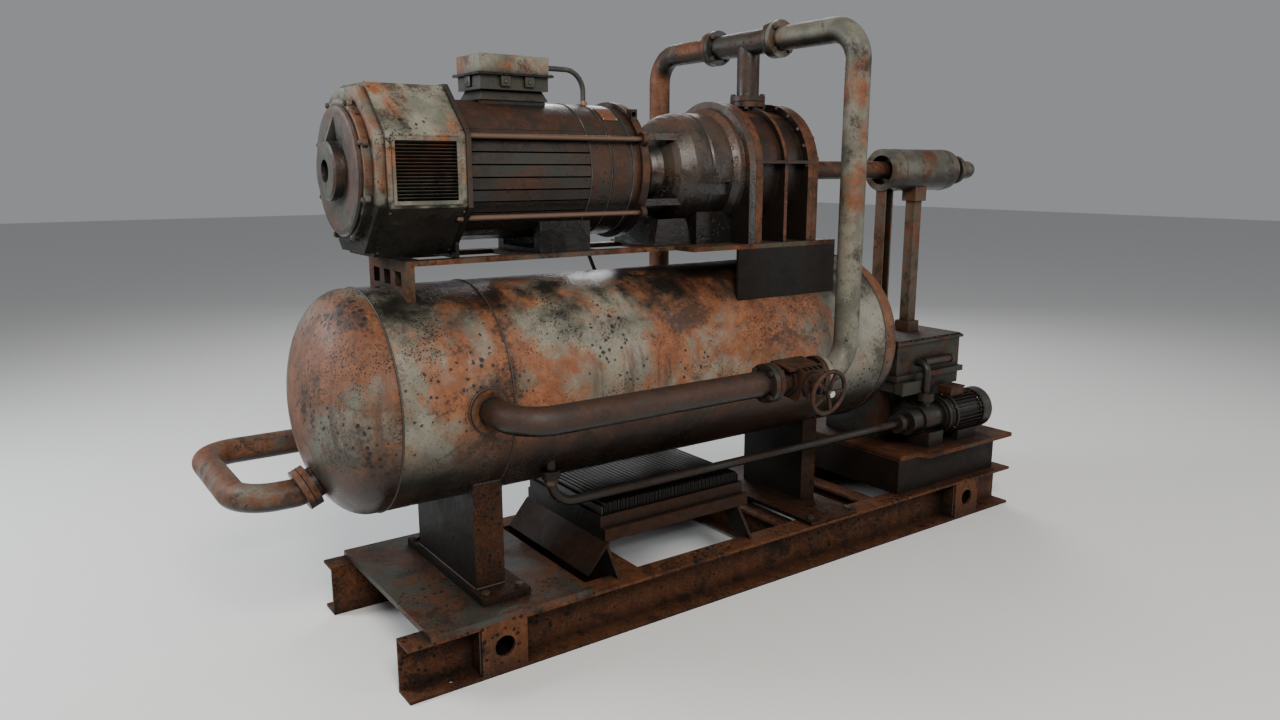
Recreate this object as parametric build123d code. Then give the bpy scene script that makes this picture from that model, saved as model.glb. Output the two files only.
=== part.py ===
"""Skid-mounted refrigeration screw compressor set, one named sub-part per STEP file.

Frame: millimetres, +Z up, +X along the skid from the motor end to the pump end, origin on the floor
at the middle of the skid. The drive train lies along +X above the horizontal separator vessel.
"""

from build123d import *
import math
import os

# ---------------------------------------------------------------- driving dimensions
SKID_LENGTH = 3000.0
SKID_HEIGHT = 180.0
SKID_HALF_WIDTH = 399.0          # to the tips of the outward flanges
CHANNEL_FLANGE = 90.0            # width of a channel over its flanges
CHANNEL_WEB_T = 9.0
CHANNEL_FLANGE_T = 11.0
ANCHOR_X = 1350.0                # anchor holes, half spacing along the skid
ANCHOR_Y = 355.0                 # anchor holes, half spacing across the skid
ANCHOR_HOLE_R = 11.0
CROSS_MEMBERS = (-1140.0, -620.0, 160.0, 640.0, 1400.0)

LIFT_X = 1180.0                  # lifting sockets, distance from the middle of the skid
LIFT_WIDTH = 160.0
LIFT_HOLE_R = 35.0
LIFT_HOLE_Z = 94.0
LIFT_PLATE_T = 12.0

DECK_X0, DECK_X1 = -1425.0, -852.0
DECK_T = 20.0

VESSEL_R = 357.0
VESSEL_WALL = 12.0
VESSEL_Z = 852.0
SHELL_X0, SHELL_X1 = -1460.0, 615.0
HEAD_STRAIGHT = 25.0
HEAD_DEPTH = 178.5               # 2:1 elliptical heads

PIPE_R = 44.45                   # DN80
PIPE_WALL = 4.5
ELBOW_R = 114.0                  # long-radius elbow
PIPE_X = 143.0                   # risers and compressor port share this station
NEAR_Y = -563.0
FAR_Y = 580.0
CROSS_Z = 2046.0
RETURN_Z = 590.0
LOOP_X = -1845.0
NOZZLE_X = -1185.0
FLANGE_R = 68.0
FLANGE_T = 20.0
GASKET_T = 2.0

AXIS_Z = 1564.0                  # motor, compressor and capacity cylinder axis
FRAME_TOP = 1297.0               # top face of the upper base frame
FRAME_T = 16.0
FRAME_X0 = -1352.0               # motor end of the motor base plate
FRAME_WINDOWS = ((-1290.0, -930.0), (-640.0, -390.0))
BASE_X0, BASE_X1 = -330.0, 384.0  # wider base plate under the compressor
BASE_Y = 265.0
APRON_X0 = -120.0                # motor end of the plate that stands on the vessel
APRON_T = 12.0

MOTOR_BODY_R = 222.0
MOTOR_FIN_ROOT_R = 205.0
MOTOR_BORE_R = 180.0
MOTOR_FINS = 36
MOTOR_FIN_T = 34.0               # flat-topped fins with narrow grooves between them
SMOOTH_Z = 1690.0                # above this the motor body has no grooves
FIN_X0, FIN_X1 = -1170.0, -726.0
BAND_X1, BAND_X2, MOTOR_X1 = -646.0, -560.0, -500.0
COWL_X0, COWL_X1 = -1430.0, -1186.0
COWL_FLAT = 254.0                # half width of the octagonal cowl across its flats
LOUVRE_LOW, LOUVRE_HIGH = -84.0, 86.0       # louvred opening, heights from the motor axis
LOUVRE_SLATS = 17
SHAFT_R = 27.0
RUNNING_GAP = 0.05               # radial running clearance of journals and rods

ARCH_R = 256.0                   # arch-topped casing flanges
BARREL_R = 228.0
ROTOR_CENTRES = 128.0
MALE_LOBES, FEMALE_FLUTES = 5, 6
MALE_LOBE_R, MALE_ROOT_R = 21.0, 56.0
FEMALE_FLUTE_R, FEMALE_TIP_R = 23.0, 68.0
ROTOR_X0, ROTOR_X1 = -32.0, 150.0
ROTOR_TWIST = 150.0              # wrap of the male rotor over its length, degrees
SLIDE_Y, SLIDE_DZ, SLIDE_R = 68.0, -84.0, 36.0

CYL_R = 93.0
CYL_X0, CYL_X1 = 948.0, 1414.0
TUBE_R = 38.0
POST_1_X, POST_2_X = 981.0, 1165.0

VALVE_X = -100.0
VALVE_TILT = 9.0                 # degrees the valve spindle points below level
WHEEL_R = 83.0
WHEEL_OUT = 160.0                # handwheel plane, out from the pipe axis
STEM_NOSE = 36.0                 # inner end of the valve stem, out from the pipe axis

TANK_X0, TANK_X1, TANK_Y = 880.0, 1320.0, 203.0
TANK_TOP = 820.0
TANK_STEP_Z = 585.0              # below this the tank steps back to clear the pump
PLATE_TOP = 348.0
PLATE_T = 18.0
PUMP_Y, PUMP_Z = -260.0, 465.0
PUMP_MOTOR_X0, PUMP_MOTOR_X1 = 1150.0, 1393.0
PUMP_MOTOR_R = 92.0
PUMP_FIN_ROOT_R = 78.0
PUMP_SHAFT_R = 12.0
GEAR_R, GEAR_TEETH = 35.0, 14    # pitch radius and tooth count of both pump gears
GEAR_X0, GEAR_X1 = 992.0, 1048.0
OIL_PIPE_R = 17.0
OIL_RISER_X, OIL_TOP_Z = 1020.0, 712.0

COOLER_X0, COOLER_X1, COOLER_Y = -726.0, -68.0, 255.0
OIL_NOZZLE_X = -925.0
DEMISTER_X = -250.0


# ---------------------------------------------------------------- helpers
def box(x0, x1, y0, y1, z0, z1):
    centre = ((x0 + x1) / 2, (y0 + y1) / 2, (z0 + z1) / 2)
    return Pos(*centre) * Box(x1 - x0, y1 - y0, z1 - z0)


def cyl_x(x0, x1, r, y=0.0, z=AXIS_Z):
    return Pos((x0 + x1) / 2, y, z) * Rot(0, 90, 0) * Cylinder(r, x1 - x0)


def cyl_y(y0, y1, r, x=0.0, z=0.0):
    return Pos(x, (y0 + y1) / 2, z) * Rot(90, 0, 0) * Cylinder(r, y1 - y0)


def cyl_z(z0, z1, r, x=0.0, y=0.0):
    return Pos(x, y, (z0 + z1) / 2) * Cylinder(r, z1 - z0)


def ring_x(x0, x1, r_out, r_in, y=0.0, z=AXIS_Z):
    return cyl_x(x0, x1, r_out, y, z) - cyl_x(x0 - 1, x1 + 1, r_in, y, z)


def turned_x(profile, y=0.0, z=AXIS_Z):
    """Solid of revolution about an axis along X; profile is a list of (x, radius)."""
    points = [(x, r) for x, r in profile]
    closed = [(points[0][0], 0.0)] + points + [(points[-1][0], 0.0)]
    sketch = make_face(Polyline(*closed, close=True))
    return Pos(0, y, z) * revolve(Plane.XY * sketch, Axis.X)


def pipe(points, r_out, r_in, radius):
    """Tube along straight runs joined by tangent arcs."""
    path = FilletPolyline(*points, radius=radius)
    start = Plane(origin=path @ 0, z_dir=path % 0)
    outer = sweep(start * Circle(r_out), path=path)
    inner = sweep(start * Circle(r_in), path=path)
    return outer - inner


def hexagon_bar(length, across_flats):
    radius = across_flats / math.sqrt(3)
    return extrude(RegularPolygon(radius, 6), length)


def along(axis):
    """Rotation that takes +Z to the named axis."""
    turns = {"x": Rot(0, 90, 0), "y": Rot(-90, 0, 0), "z": Rot(0, 0, 0)}
    return turns[axis]


def flange(place, axis, start, end, r_in=PIPE_R - PIPE_WALL / 2, r_out=FLANGE_R, holes=4):
    """Drilled flange disc; place is a point of the axis, start and end run along the axis."""
    disc = Pos(0, 0, (start + end) / 2) * Cylinder(r_out, end - start)
    bore = Pos(0, 0, (start + end) / 2) * Cylinder(r_in, end - start + 2)
    disc = disc - bore
    pitch = r_out - 11.0
    for i in range(holes):
        angle = math.radians(360 * (i + 0.5) / holes)
        where = Pos(pitch * math.cos(angle), pitch * math.sin(angle), (start + end) / 2)
        disc = disc - where * Cylinder(6.0, end - start + 2)
    return Pos(*place) * along(axis) * disc


def joint_bolts(place, axis, r_out=FLANGE_R, holes=4, grip=2 * FLANGE_T + GASKET_T):
    """Bolts, nuts and shanks of one flanged joint centred on place."""
    bolts = []
    pitch = r_out - 11.0
    for i in range(holes):
        angle = math.radians(360 * (i + 0.5) / holes)
        where = Pos(pitch * math.cos(angle), pitch * math.sin(angle), 0)
        bolt = Cylinder(5.5, grip + 16)
        bolt += Pos(0, 0, grip / 2) * hexagon_bar(8, 18)
        bolt += Pos(0, 0, -grip / 2 - 8) * hexagon_bar(8, 18)
        bolts.append(Pos(*place) * along(axis) * where * bolt)
    return bolts


def save(name, *shapes):
    solids = []
    for shape in shapes:
        for one in shape if isinstance(shape, list) else [shape]:
            solids.extend(one.solids())
    whole = solids[0] if len(solids) == 1 else Compound(children=solids)
    export_step(whole, f"parts/{name}.step")


VESSEL_BODY = cyl_x(SHELL_X0 - HEAD_STRAIGHT, SHELL_X1 + HEAD_STRAIGHT, VESSEL_R, 0, VESSEL_Z)


# ---------------------------------------------------------------- skid
def skid_channel(side):
    tip = side * SKID_HALF_WIDTH
    back = side * (SKID_HALF_WIDTH - CHANNEL_FLANGE)
    web = back + side * CHANNEL_WEB_T
    half = SKID_LENGTH / 2
    low, high = min(back, tip), max(back, tip)
    channel = box(-half, half, low, high, 0, CHANNEL_FLANGE_T)
    channel += box(-half, half, low, high, SKID_HEIGHT - CHANNEL_FLANGE_T, SKID_HEIGHT)
    channel += box(-half, half, min(back, web), max(back, web), 0, SKID_HEIGHT)
    for x in (-ANCHOR_X, ANCHOR_X):
        channel -= cyl_z(-1, CHANNEL_FLANGE_T + 1, ANCHOR_HOLE_R, x, side * ANCHOR_Y)
    for x in (-LIFT_X, LIFT_X):
        channel -= cyl_y(min(back, web) - 1, max(back, web) + 1, LIFT_HOLE_R, x, LIFT_HOLE_Z)
    return channel


def lifting_socket(x, side):
    """Square front plate with a round hole and two cheeks, welded between the channel flanges."""
    tip = side * SKID_HALF_WIDTH
    front = tip - side * LIFT_PLATE_T
    web = side * (SKID_HALF_WIDTH - CHANNEL_FLANGE + CHANNEL_WEB_T)
    z0, z1 = CHANNEL_FLANGE_T, SKID_HEIGHT - CHANNEL_FLANGE_T
    half = LIFT_WIDTH / 2
    socket = box(x - half, x + half, min(front, tip), max(front, tip), z0, z1)
    socket -= cyl_y(min(front, tip) - 1, max(front, tip) + 1, LIFT_HOLE_R, x, LIFT_HOLE_Z)
    for cheek in (x - half, x + half - LIFT_PLATE_T):
        socket += box(cheek, cheek + LIFT_PLATE_T, min(web, front), max(web, front), z0, z1)
    return socket


def cross_member(x):
    inner = SKID_HALF_WIDTH - CHANNEL_FLANGE
    beam = box(x - 40, x + 40, -inner, inner, 20, 31)
    beam += box(x - 40, x + 40, -inner, inner, 149, 160)
    beam += box(x - 4, x + 4, -inner, inner, 20, 160)
    return beam


def pedestal(base, base_y, base_z, base_t, column, column_y):
    """Base plate, box column and saddle cut to the vessel; base and column are (x0, x1)."""
    top = VESSEL_Z - VESSEL_R + 260
    foot = box(base[0], base[1], -base_y, base_y, base_z, base_z + base_t)
    stand = box(column[0], column[1], -column_y, column_y, base_z + base_t, top)
    inner = box(column[0] + 10, column[1] - 10, -column_y + 10, column_y - 10, base_z + base_t, top + 1)
    for x in (base[0] + 25, base[1] - 25):
        for y in (-base_y + 30, base_y - 30):
            foot -= cyl_z(base_z - 1, base_z + base_t + 1, 9.0, x, y)
    return foot + (stand - inner - VESSEL_BODY)


def pedestal_bolts(base, base_y, base_z, base_t):
    bolts = []
    for x in (base[0] + 25, base[1] - 25):
        for y in (-base_y + 30, base_y - 30):
            bolt = Pos(x, y, base_z + base_t) * hexagon_bar(11, 26)
            bolts.append(bolt + cyl_z(base_z, base_z + base_t, 8.5, x, y))
    return bolts


def build_skid():
    members = [cross_member(x) for x in CROSS_MEMBERS]
    save("skid_frame", [skid_channel(-1), skid_channel(1)], members)
    sockets = [lifting_socket(x, side) for x in (-LIFT_X, LIFT_X) for side in (-1, 1)]
    save("lifting_sockets", sockets)
    deck = box(DECK_X0, DECK_X1, -SKID_HALF_WIDTH, SKID_HALF_WIDTH, SKID_HEIGHT, SKID_HEIGHT + DECK_T)
    save("deck_plate", deck)
    left_z = SKID_HEIGHT + DECK_T
    left = pedestal((-1212, -1040), 315, left_z, 25, (-1197, -1093), 235)
    save("pedestals", left, pedestal((180, 442), 395, SKID_HEIGHT, 15, (330, 410), 180))
    bolts = pedestal_bolts((-1212, -1040), 315, left_z, 25)
    save("pedestal_bolts", bolts, pedestal_bolts((180, 442), 395, SKID_HEIGHT, 15))


# ---------------------------------------------------------------- separator vessel
def head_profile(r, depth):
    """Quarter ellipse, from the axis out to the radius."""
    steps = 24
    points = []
    for i in range(steps + 1):
        a = math.pi / 2 * i / steps
        points.append((depth * math.cos(a), r * math.sin(a)))
    return points


def head_solid(side, r, depth, straight):
    """Dished head with its straight flange; side is -1 for the left head and +1 for the right."""
    seam = SHELL_X0 if side < 0 else SHELL_X1
    tangent = seam + side * straight
    arc = Spline(*[(tangent + side * d, q) for d, q in head_profile(r, depth)],
                 tangents=[(0, 1), (-side, 0)])
    outline = arc + Polyline((tangent, r), (seam, r), (seam, 0), (tangent + side * depth, 0))
    return Pos(0, 0, VESSEL_Z) * revolve(make_face(outline), Axis.X)


def vessel_head(side):
    inner_r = VESSEL_R - VESSEL_WALL
    outer = head_solid(side, VESSEL_R, HEAD_DEPTH, HEAD_STRAIGHT)
    inner = head_solid(side, inner_r, HEAD_DEPTH - VESSEL_WALL, HEAD_STRAIGHT)
    return outer - inner


def return_nozzle_place():
    """Point and outward direction, in the XZ plane, of the nozzle low on the left head."""
    dz = -237.0
    depth = HEAD_DEPTH * math.sqrt(1 - (dz / VESSEL_R) ** 2)
    point = (SHELL_X0 - HEAD_STRAIGHT - depth, 0.0, VESSEL_Z + dz)
    nx, nz = -depth / HEAD_DEPTH ** 2, dz / VESSEL_R ** 2
    length = math.hypot(nx, nz)
    return point, (nx / length, 0.0, nz / length)


def build_vessel():
    shell = cyl_x(SHELL_X0, SHELL_X1, VESSEL_R, 0, VESSEL_Z)
    shell -= cyl_x(SHELL_X0 - 1, SHELL_X1 + 1, VESSEL_R - VESSEL_WALL, 0, VESSEL_Z)
    shell -= cyl_y(-VESSEL_R - 20, -VESSEL_R + 40, PIPE_R - PIPE_WALL, NOZZLE_X, VESSEL_Z)
    shell -= cyl_z(VESSEL_Z - VESSEL_R, VESSEL_Z - 200, OIL_PIPE_R - 4, OIL_NOZZLE_X, PUMP_Y)
    save("vessel_shell", shell)
    point, out = return_nozzle_place()
    nozzle_plane = Plane(origin=point, z_dir=out)
    left = vessel_head(-1) - nozzle_plane * Cylinder(PIPE_R - PIPE_WALL, 80)
    save("vessel_heads", [left, vessel_head(1)])
    pad = cyl_y(-VESSEL_R - 14, -VESSEL_R + 30, FLANGE_R, NOZZLE_X, VESSEL_Z)
    pad -= cyl_y(-VESSEL_R - 30, -VESSEL_R + 60, PIPE_R, NOZZLE_X, VESSEL_Z)
    neck = nozzle_plane * Pos(0, 0, -5) * Cylinder(PIPE_R + 6, 34)
    neck += nozzle_plane * Pos(0, 0, 22) * Cylinder(FLANGE_R, FLANGE_T)
    neck -= nozzle_plane * Cylinder(PIPE_R - PIPE_WALL, 100)
    neck -= head_solid(-1, VESSEL_R, HEAD_DEPTH, HEAD_STRAIGHT)
    save("vessel_nozzles", pad - VESSEL_BODY, neck)
    inner_r = VESSEL_R - VESSEL_WALL - 4
    demister = cyl_x(DEMISTER_X, DEMISTER_X + 120, inner_r, 0, VESSEL_Z)
    demister -= box(DEMISTER_X - 1, DEMISTER_X + 121, -400, 400, VESSEL_Z - 400, VESSEL_Z - 150)
    plate_x = DEMISTER_X + 150
    baffle = cyl_x(plate_x, plate_x + 8, inner_r, 0, VESSEL_Z)
    baffle -= box(plate_x - 1, plate_x + 9, -400, 400, VESSEL_Z + 120, VESSEL_Z + 400)
    baffle -= box(plate_x - 1, plate_x + 9, -400, 400, VESSEL_Z - 400, VESSEL_Z - 290)
    save("separator_internals", demister, baffle)


# ---------------------------------------------------------------- refrigerant pipework
FLANGE_END = 22.0 + FLANGE_T / 2            # outer face of the nozzle flange, from the head
MAIN_JOINT_X = VALVE_X - 138.0              # main pipe to valve
RISER_JOINT_X = VALVE_X + 95.0              # valve to riser
TEE_NEAR_Y, TEE_FAR_Y = -162.0, 198.0
PORT_JOINT_Z = 1827.0
PORT_NECK_R = 46.0
PORT_BORE_R = 38.0
GASKET_R = 51.0


def build_pipes():
    bore = PIPE_R - PIPE_WALL
    gap = GASKET_T / 2
    face = MAIN_JOINT_X - gap
    start = (NOZZLE_X, -VESSEL_R + 6, VESSEL_Z)
    corner = (NOZZLE_X, NEAR_Y, VESSEL_Z)
    main = pipe([start, corner, (face, NEAR_Y, VESSEL_Z)], PIPE_R, bore, ELBOW_R) - VESSEL_BODY
    main += flange((face, NEAR_Y, VESSEL_Z), "x", -FLANGE_T, 0)
    save("main_pipe", main)

    face = RISER_JOINT_X + gap
    points = [(face, NEAR_Y, VESSEL_Z), (PIPE_X, NEAR_Y, VESSEL_Z), (PIPE_X, NEAR_Y, CROSS_Z)]
    end = (PIPE_X, TEE_NEAR_Y - gap, CROSS_Z)
    riser = pipe(points + [end], PIPE_R, bore, ELBOW_R)
    riser += flange((face, NEAR_Y, VESSEL_Z), "x", 0, FLANGE_T)
    riser += flange(end, "y", -FLANGE_T, 0)
    save("near_riser", riser)

    neck_r = PIPE_R + 1.5
    tee = cyl_y(TEE_NEAR_Y + gap, TEE_FAR_Y - gap, neck_r, PIPE_X, CROSS_Z)
    tee += cyl_z(PORT_JOINT_Z + gap, CROSS_Z, PORT_NECK_R - 2.5, PIPE_X, 0)
    tee -= cyl_y(TEE_NEAR_Y, TEE_FAR_Y, bore, PIPE_X, CROSS_Z)
    tee -= cyl_z(PORT_JOINT_Z, CROSS_Z, PORT_BORE_R, PIPE_X, 0)
    tee += flange((PIPE_X, TEE_NEAR_Y + gap, CROSS_Z), "y", 0, FLANGE_T)
    tee += flange((PIPE_X, TEE_FAR_Y - gap, CROSS_Z), "y", -FLANGE_T, 0)
    tee += flange((PIPE_X, 0, PORT_JOINT_Z + gap), "z", 0, FLANGE_T)
    save("top_tee", tee)

    point, out = return_nozzle_place()
    reach = FLANGE_END + GASKET_T
    first = tuple(p + reach * n for p, n in zip(point, out))
    knee_x = first[0] - (first[2] - RETURN_Z) / out[2] * out[0]
    start = (PIPE_X, TEE_FAR_Y + gap, CROSS_Z)
    route = [start, (PIPE_X, FAR_Y, CROSS_Z), (PIPE_X, FAR_Y, RETURN_Z)]
    route += [(LOOP_X, FAR_Y, RETURN_Z), (LOOP_X, 0, RETURN_Z), (knee_x, 0, RETURN_Z), first]
    knee_r = 60.0
    loop = pipe(route, PIPE_R, bore, [ELBOW_R, ELBOW_R, ELBOW_R, ELBOW_R, knee_r])
    loop += flange(start, "y", 0, FLANGE_T)
    collar = Cylinder(FLANGE_R, FLANGE_T) - Cylinder(PIPE_R - PIPE_WALL / 2, 2 * FLANGE_T)
    disc = Pos(0, 0, reach + FLANGE_T / 2) * collar
    loop += Plane(origin=point, z_dir=out) * disc
    save("return_pipe", loop)

    rings = [ring_x(MAIN_JOINT_X - gap, MAIN_JOINT_X + gap, GASKET_R, bore, NEAR_Y, VESSEL_Z)]
    rings.append(ring_x(RISER_JOINT_X - gap, RISER_JOINT_X + gap, GASKET_R, bore, NEAR_Y, VESSEL_Z))
    for y in (TEE_NEAR_Y, TEE_FAR_Y):
        disc = cyl_y(y - gap, y + gap, GASKET_R, PIPE_X, CROSS_Z)
        rings.append(disc - cyl_y(y - 2, y + 2, bore, PIPE_X, CROSS_Z))
    disc = cyl_z(PORT_JOINT_Z - gap, PORT_JOINT_Z + gap, GASKET_R, PIPE_X)
    rings.append(disc - cyl_z(PORT_JOINT_Z - 2, PORT_JOINT_Z + 2, bore, PIPE_X))
    washer = Pos(0, 0, FLANGE_END + gap) * (Cylinder(GASKET_R, GASKET_T) - Cylinder(bore, 10))
    rings.append(Plane(origin=point, z_dir=out) * washer)
    save("pipe_gaskets", rings)

    bolts = joint_bolts((MAIN_JOINT_X, NEAR_Y, VESSEL_Z), "x")
    bolts += joint_bolts((RISER_JOINT_X, NEAR_Y, VESSEL_Z), "x")
    bolts += joint_bolts((PIPE_X, TEE_NEAR_Y, CROSS_Z), "y")
    bolts += joint_bolts((PIPE_X, TEE_FAR_Y, CROSS_Z), "y")
    bolts += joint_bolts((PIPE_X, 0, PORT_JOINT_Z), "z")
    save("flange_bolts", bolts)


# ---------------------------------------------------------------- isolation valve
def valve_frame(shape):
    """Turns a shape drawn with its spindle along local -Y, about the pipe axis, into place."""
    return Pos(VALVE_X, NEAR_Y, VESSEL_Z) * Rot(VALVE_TILT, 0, 0) * shape


def build_valve():
    bore = PIPE_R - PIPE_WALL
    x0 = MAIN_JOINT_X + GASKET_T / 2 - VALVE_X
    x1 = RISER_JOINT_X - GASKET_T / 2 - VALVE_X
    body = Rot(0, 90, 0) * Cylinder(58, 130)
    body += Pos((x0 + x1) / 2, 0, 0) * Rot(0, 90, 0) * Cylinder(PIPE_R + 1.5, x1 - x0)
    body += Pos(0, -30, 0) * Box(104, 90, 104)
    body += Pos(-21, -4, 55) * Box(148, 96, 10)
    for x in (-50, -25, 0, 25, 50):
        body += Pos(x, -10, 0) * Box(8, 118, 118)
    body -= Pos((x0 + x1) / 2, 0, 0) * Rot(0, 90, 0) * Cylinder(bore, x1 - x0 + 10)
    body -= Pos(0, -20, 0) * Rot(90, 0, 0) * Cylinder(46, 112)
    seat = Pos(0, 4, 0) * Rot(90, 0, 0) * (Cylinder(46.5, 8) - Cylinder(28, 10))
    body += seat
    for side in (-1, 1):
        body += Pos(side * 48, 4 - side * 22, 0) * Box(6, 44, 84)
    body -= Pos(0, -60, 0) * Rot(90, 0, 0) * Cylinder(9.4, 80)
    body = valve_frame(body)
    body += flange((MAIN_JOINT_X + GASKET_T / 2, NEAR_Y, VESSEL_Z), "x", 0, FLANGE_T)
    body += flange((RISER_JOINT_X - GASKET_T / 2, NEAR_Y, VESSEL_Z), "x", -FLANGE_T, 0)
    bonnet = Pos(0, -81, 0) * Rot(90, 0, 0) * Cylinder(46, 12)
    bonnet += Pos(0, -100, 0) * Rot(90, 0, 0) * Cylinder(24, 30)
    bonnet += Pos(0, -120, 0) * Rot(-90, 0, 0) * Pos(0, 0, -6) * hexagon_bar(12, 34)
    bonnet -= Pos(0, -100, 0) * Rot(90, 0, 0) * Cylinder(9 + RUNNING_GAP, 80)
    for i in range(4):
        angle = math.radians(45 + 90 * i)
        where = Pos(37 * math.cos(angle), -87, 37 * math.sin(angle))
        bonnet += where * Rot(90, 0, 0) * hexagon_bar(7, 14)
    save("valve_body", body)
    save("valve_bonnet", valve_frame(bonnet))
    disc = Pos(0, -6.3, 0) * Rot(90, 0, 0) * Cylinder(38, 12)
    disc += Pos(0, -28, 0) * Rot(90, 0, 0) * Cylinder(15, 34)
    disc -= Pos(0, -30, 0) * Rot(90, 0, 0) * Cylinder(9 + RUNNING_GAP, 32)
    save("valve_disc", valve_frame(disc))
    stem_end = WHEEL_OUT + 13
    stem = Pos(0, -(STEM_NOSE + stem_end) / 2, 0) * Rot(90, 0, 0) * Cylinder(9, stem_end - STEM_NOSE)
    stem += Pos(0, -WHEEL_OUT - 5, 0) * Rot(90, 0, 0) * hexagon_bar(9, 22)
    save("valve_stem", valve_frame(stem))
    rim = Torus(WHEEL_R - 8, 8)
    wheel = rim + Cylinder(17, 22)
    for i in range(5):
        angle = 72 * i
        spoke = Pos(WHEEL_R / 2 - 2, 0, 0) * Box(WHEEL_R - 20, 13, 7)
        wheel += Rot(0, 0, angle) * spoke
    wheel -= Cylinder(9, 40)
    save("handwheel", valve_frame(Pos(0, -WHEEL_OUT + 6, 0) * Rot(90, 0, 0) * wheel))


# ---------------------------------------------------------------- upper base frame
def build_upper_frame():
    z0, z1 = FRAME_TOP - FRAME_T, FRAME_TOP
    foot_z = VESSEL_Z + 228
    plate = box(FRAME_X0, BASE_X0, -160, 160, z0, z1)
    for x0, x1 in FRAME_WINDOWS:
        plate -= box(x0, x1, -112, 112, z0 - 1, z1 + 1)
    end = box(FRAME_X0, FRAME_X0 + 27, -160, 160, foot_z, z0) - VESSEL_BODY
    for y in (-92, 0, 92):
        end -= box(FRAME_X0 - 1, FRAME_X0 + 28, y - 26, y + 26, 1215, 1262)
    brace = Edge.make_line((-530, 136, z0 + 4), (-440, 136, foot_z))
    plate += end + (sweep(Plane(origin=brace @ 0, z_dir=brace % 0) * Circle(7), path=brace) - VESSEL_BODY)
    base = box(BASE_X0, BASE_X1, -BASE_Y, BASE_Y, z0, z1)
    base -= box(-250, -80, -90, 90, z0 - 1, z1 + 1)
    apron = box(APRON_X0, BASE_X1, -BASE_Y, APRON_T - BASE_Y, foot_z, z0)
    apron += box(BASE_X1 - APRON_T, BASE_X1, -BASE_Y, BASE_Y, foot_z, z0)
    apron += box(150, 150 + APRON_T, -BASE_Y, 40, foot_z, z0)
    save("upper_frame", plate, base + (apron - VESSEL_BODY))


# ---------------------------------------------------------------- drive motor
def finned_profile(root_r, tip_r, fins, thickness):
    """Closed outline of a finned round housing, about the origin."""
    points = []
    for i in range(fins):
        centre = 2 * math.pi * i / fins
        for radius, offset in ((root_r, -1), (tip_r, -1), (tip_r, 1), (root_r, 1)):
            angle = centre + offset * thickness / 2 / radius
            points.append((radius * math.cos(angle), radius * math.sin(angle)))
    return make_face(Polyline(*points, close=True))


def finned_x(x0, x1, root_r, tip_r, fins, thickness, y=0.0, z=AXIS_Z):
    body = extrude(finned_profile(root_r, tip_r, fins, thickness), x1 - x0)
    return Pos(x0, y, z) * Rot(0, 90, 0) * body


def octagon_x(x0, x1, flat):
    """Octagonal prism along X with flats facing +Y and +Z; flat is half its width."""
    side = extrude(RegularPolygon(flat / math.cos(math.pi / 8), 8), x1 - x0)
    return Pos(x0, 0, AXIS_Z) * Rot(0, 90, 0) * Rot(0, 0, 22.5) * side


SEAL_R = 56.0
BEARING_R = 40.0
ROD_R = 8.0
ROD_HOLE_R = 8.5
ROD_PLACES = ((-222.0, 105.0), (-212.0, -140.0), (222.0, 105.0), (212.0, -140.0))
JUNCTION_X0, JUNCTION_X1, JUNCTION_Y = -1050.0, -802.0, 84.0
JUNCTION_BASE = 32.0                        # height of the flared base
JUNCTION_SPLIT = 76.0                       # height of the joint under the lid
LEAD_X = -619.0                             # where the motor lead enters the frame


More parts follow.
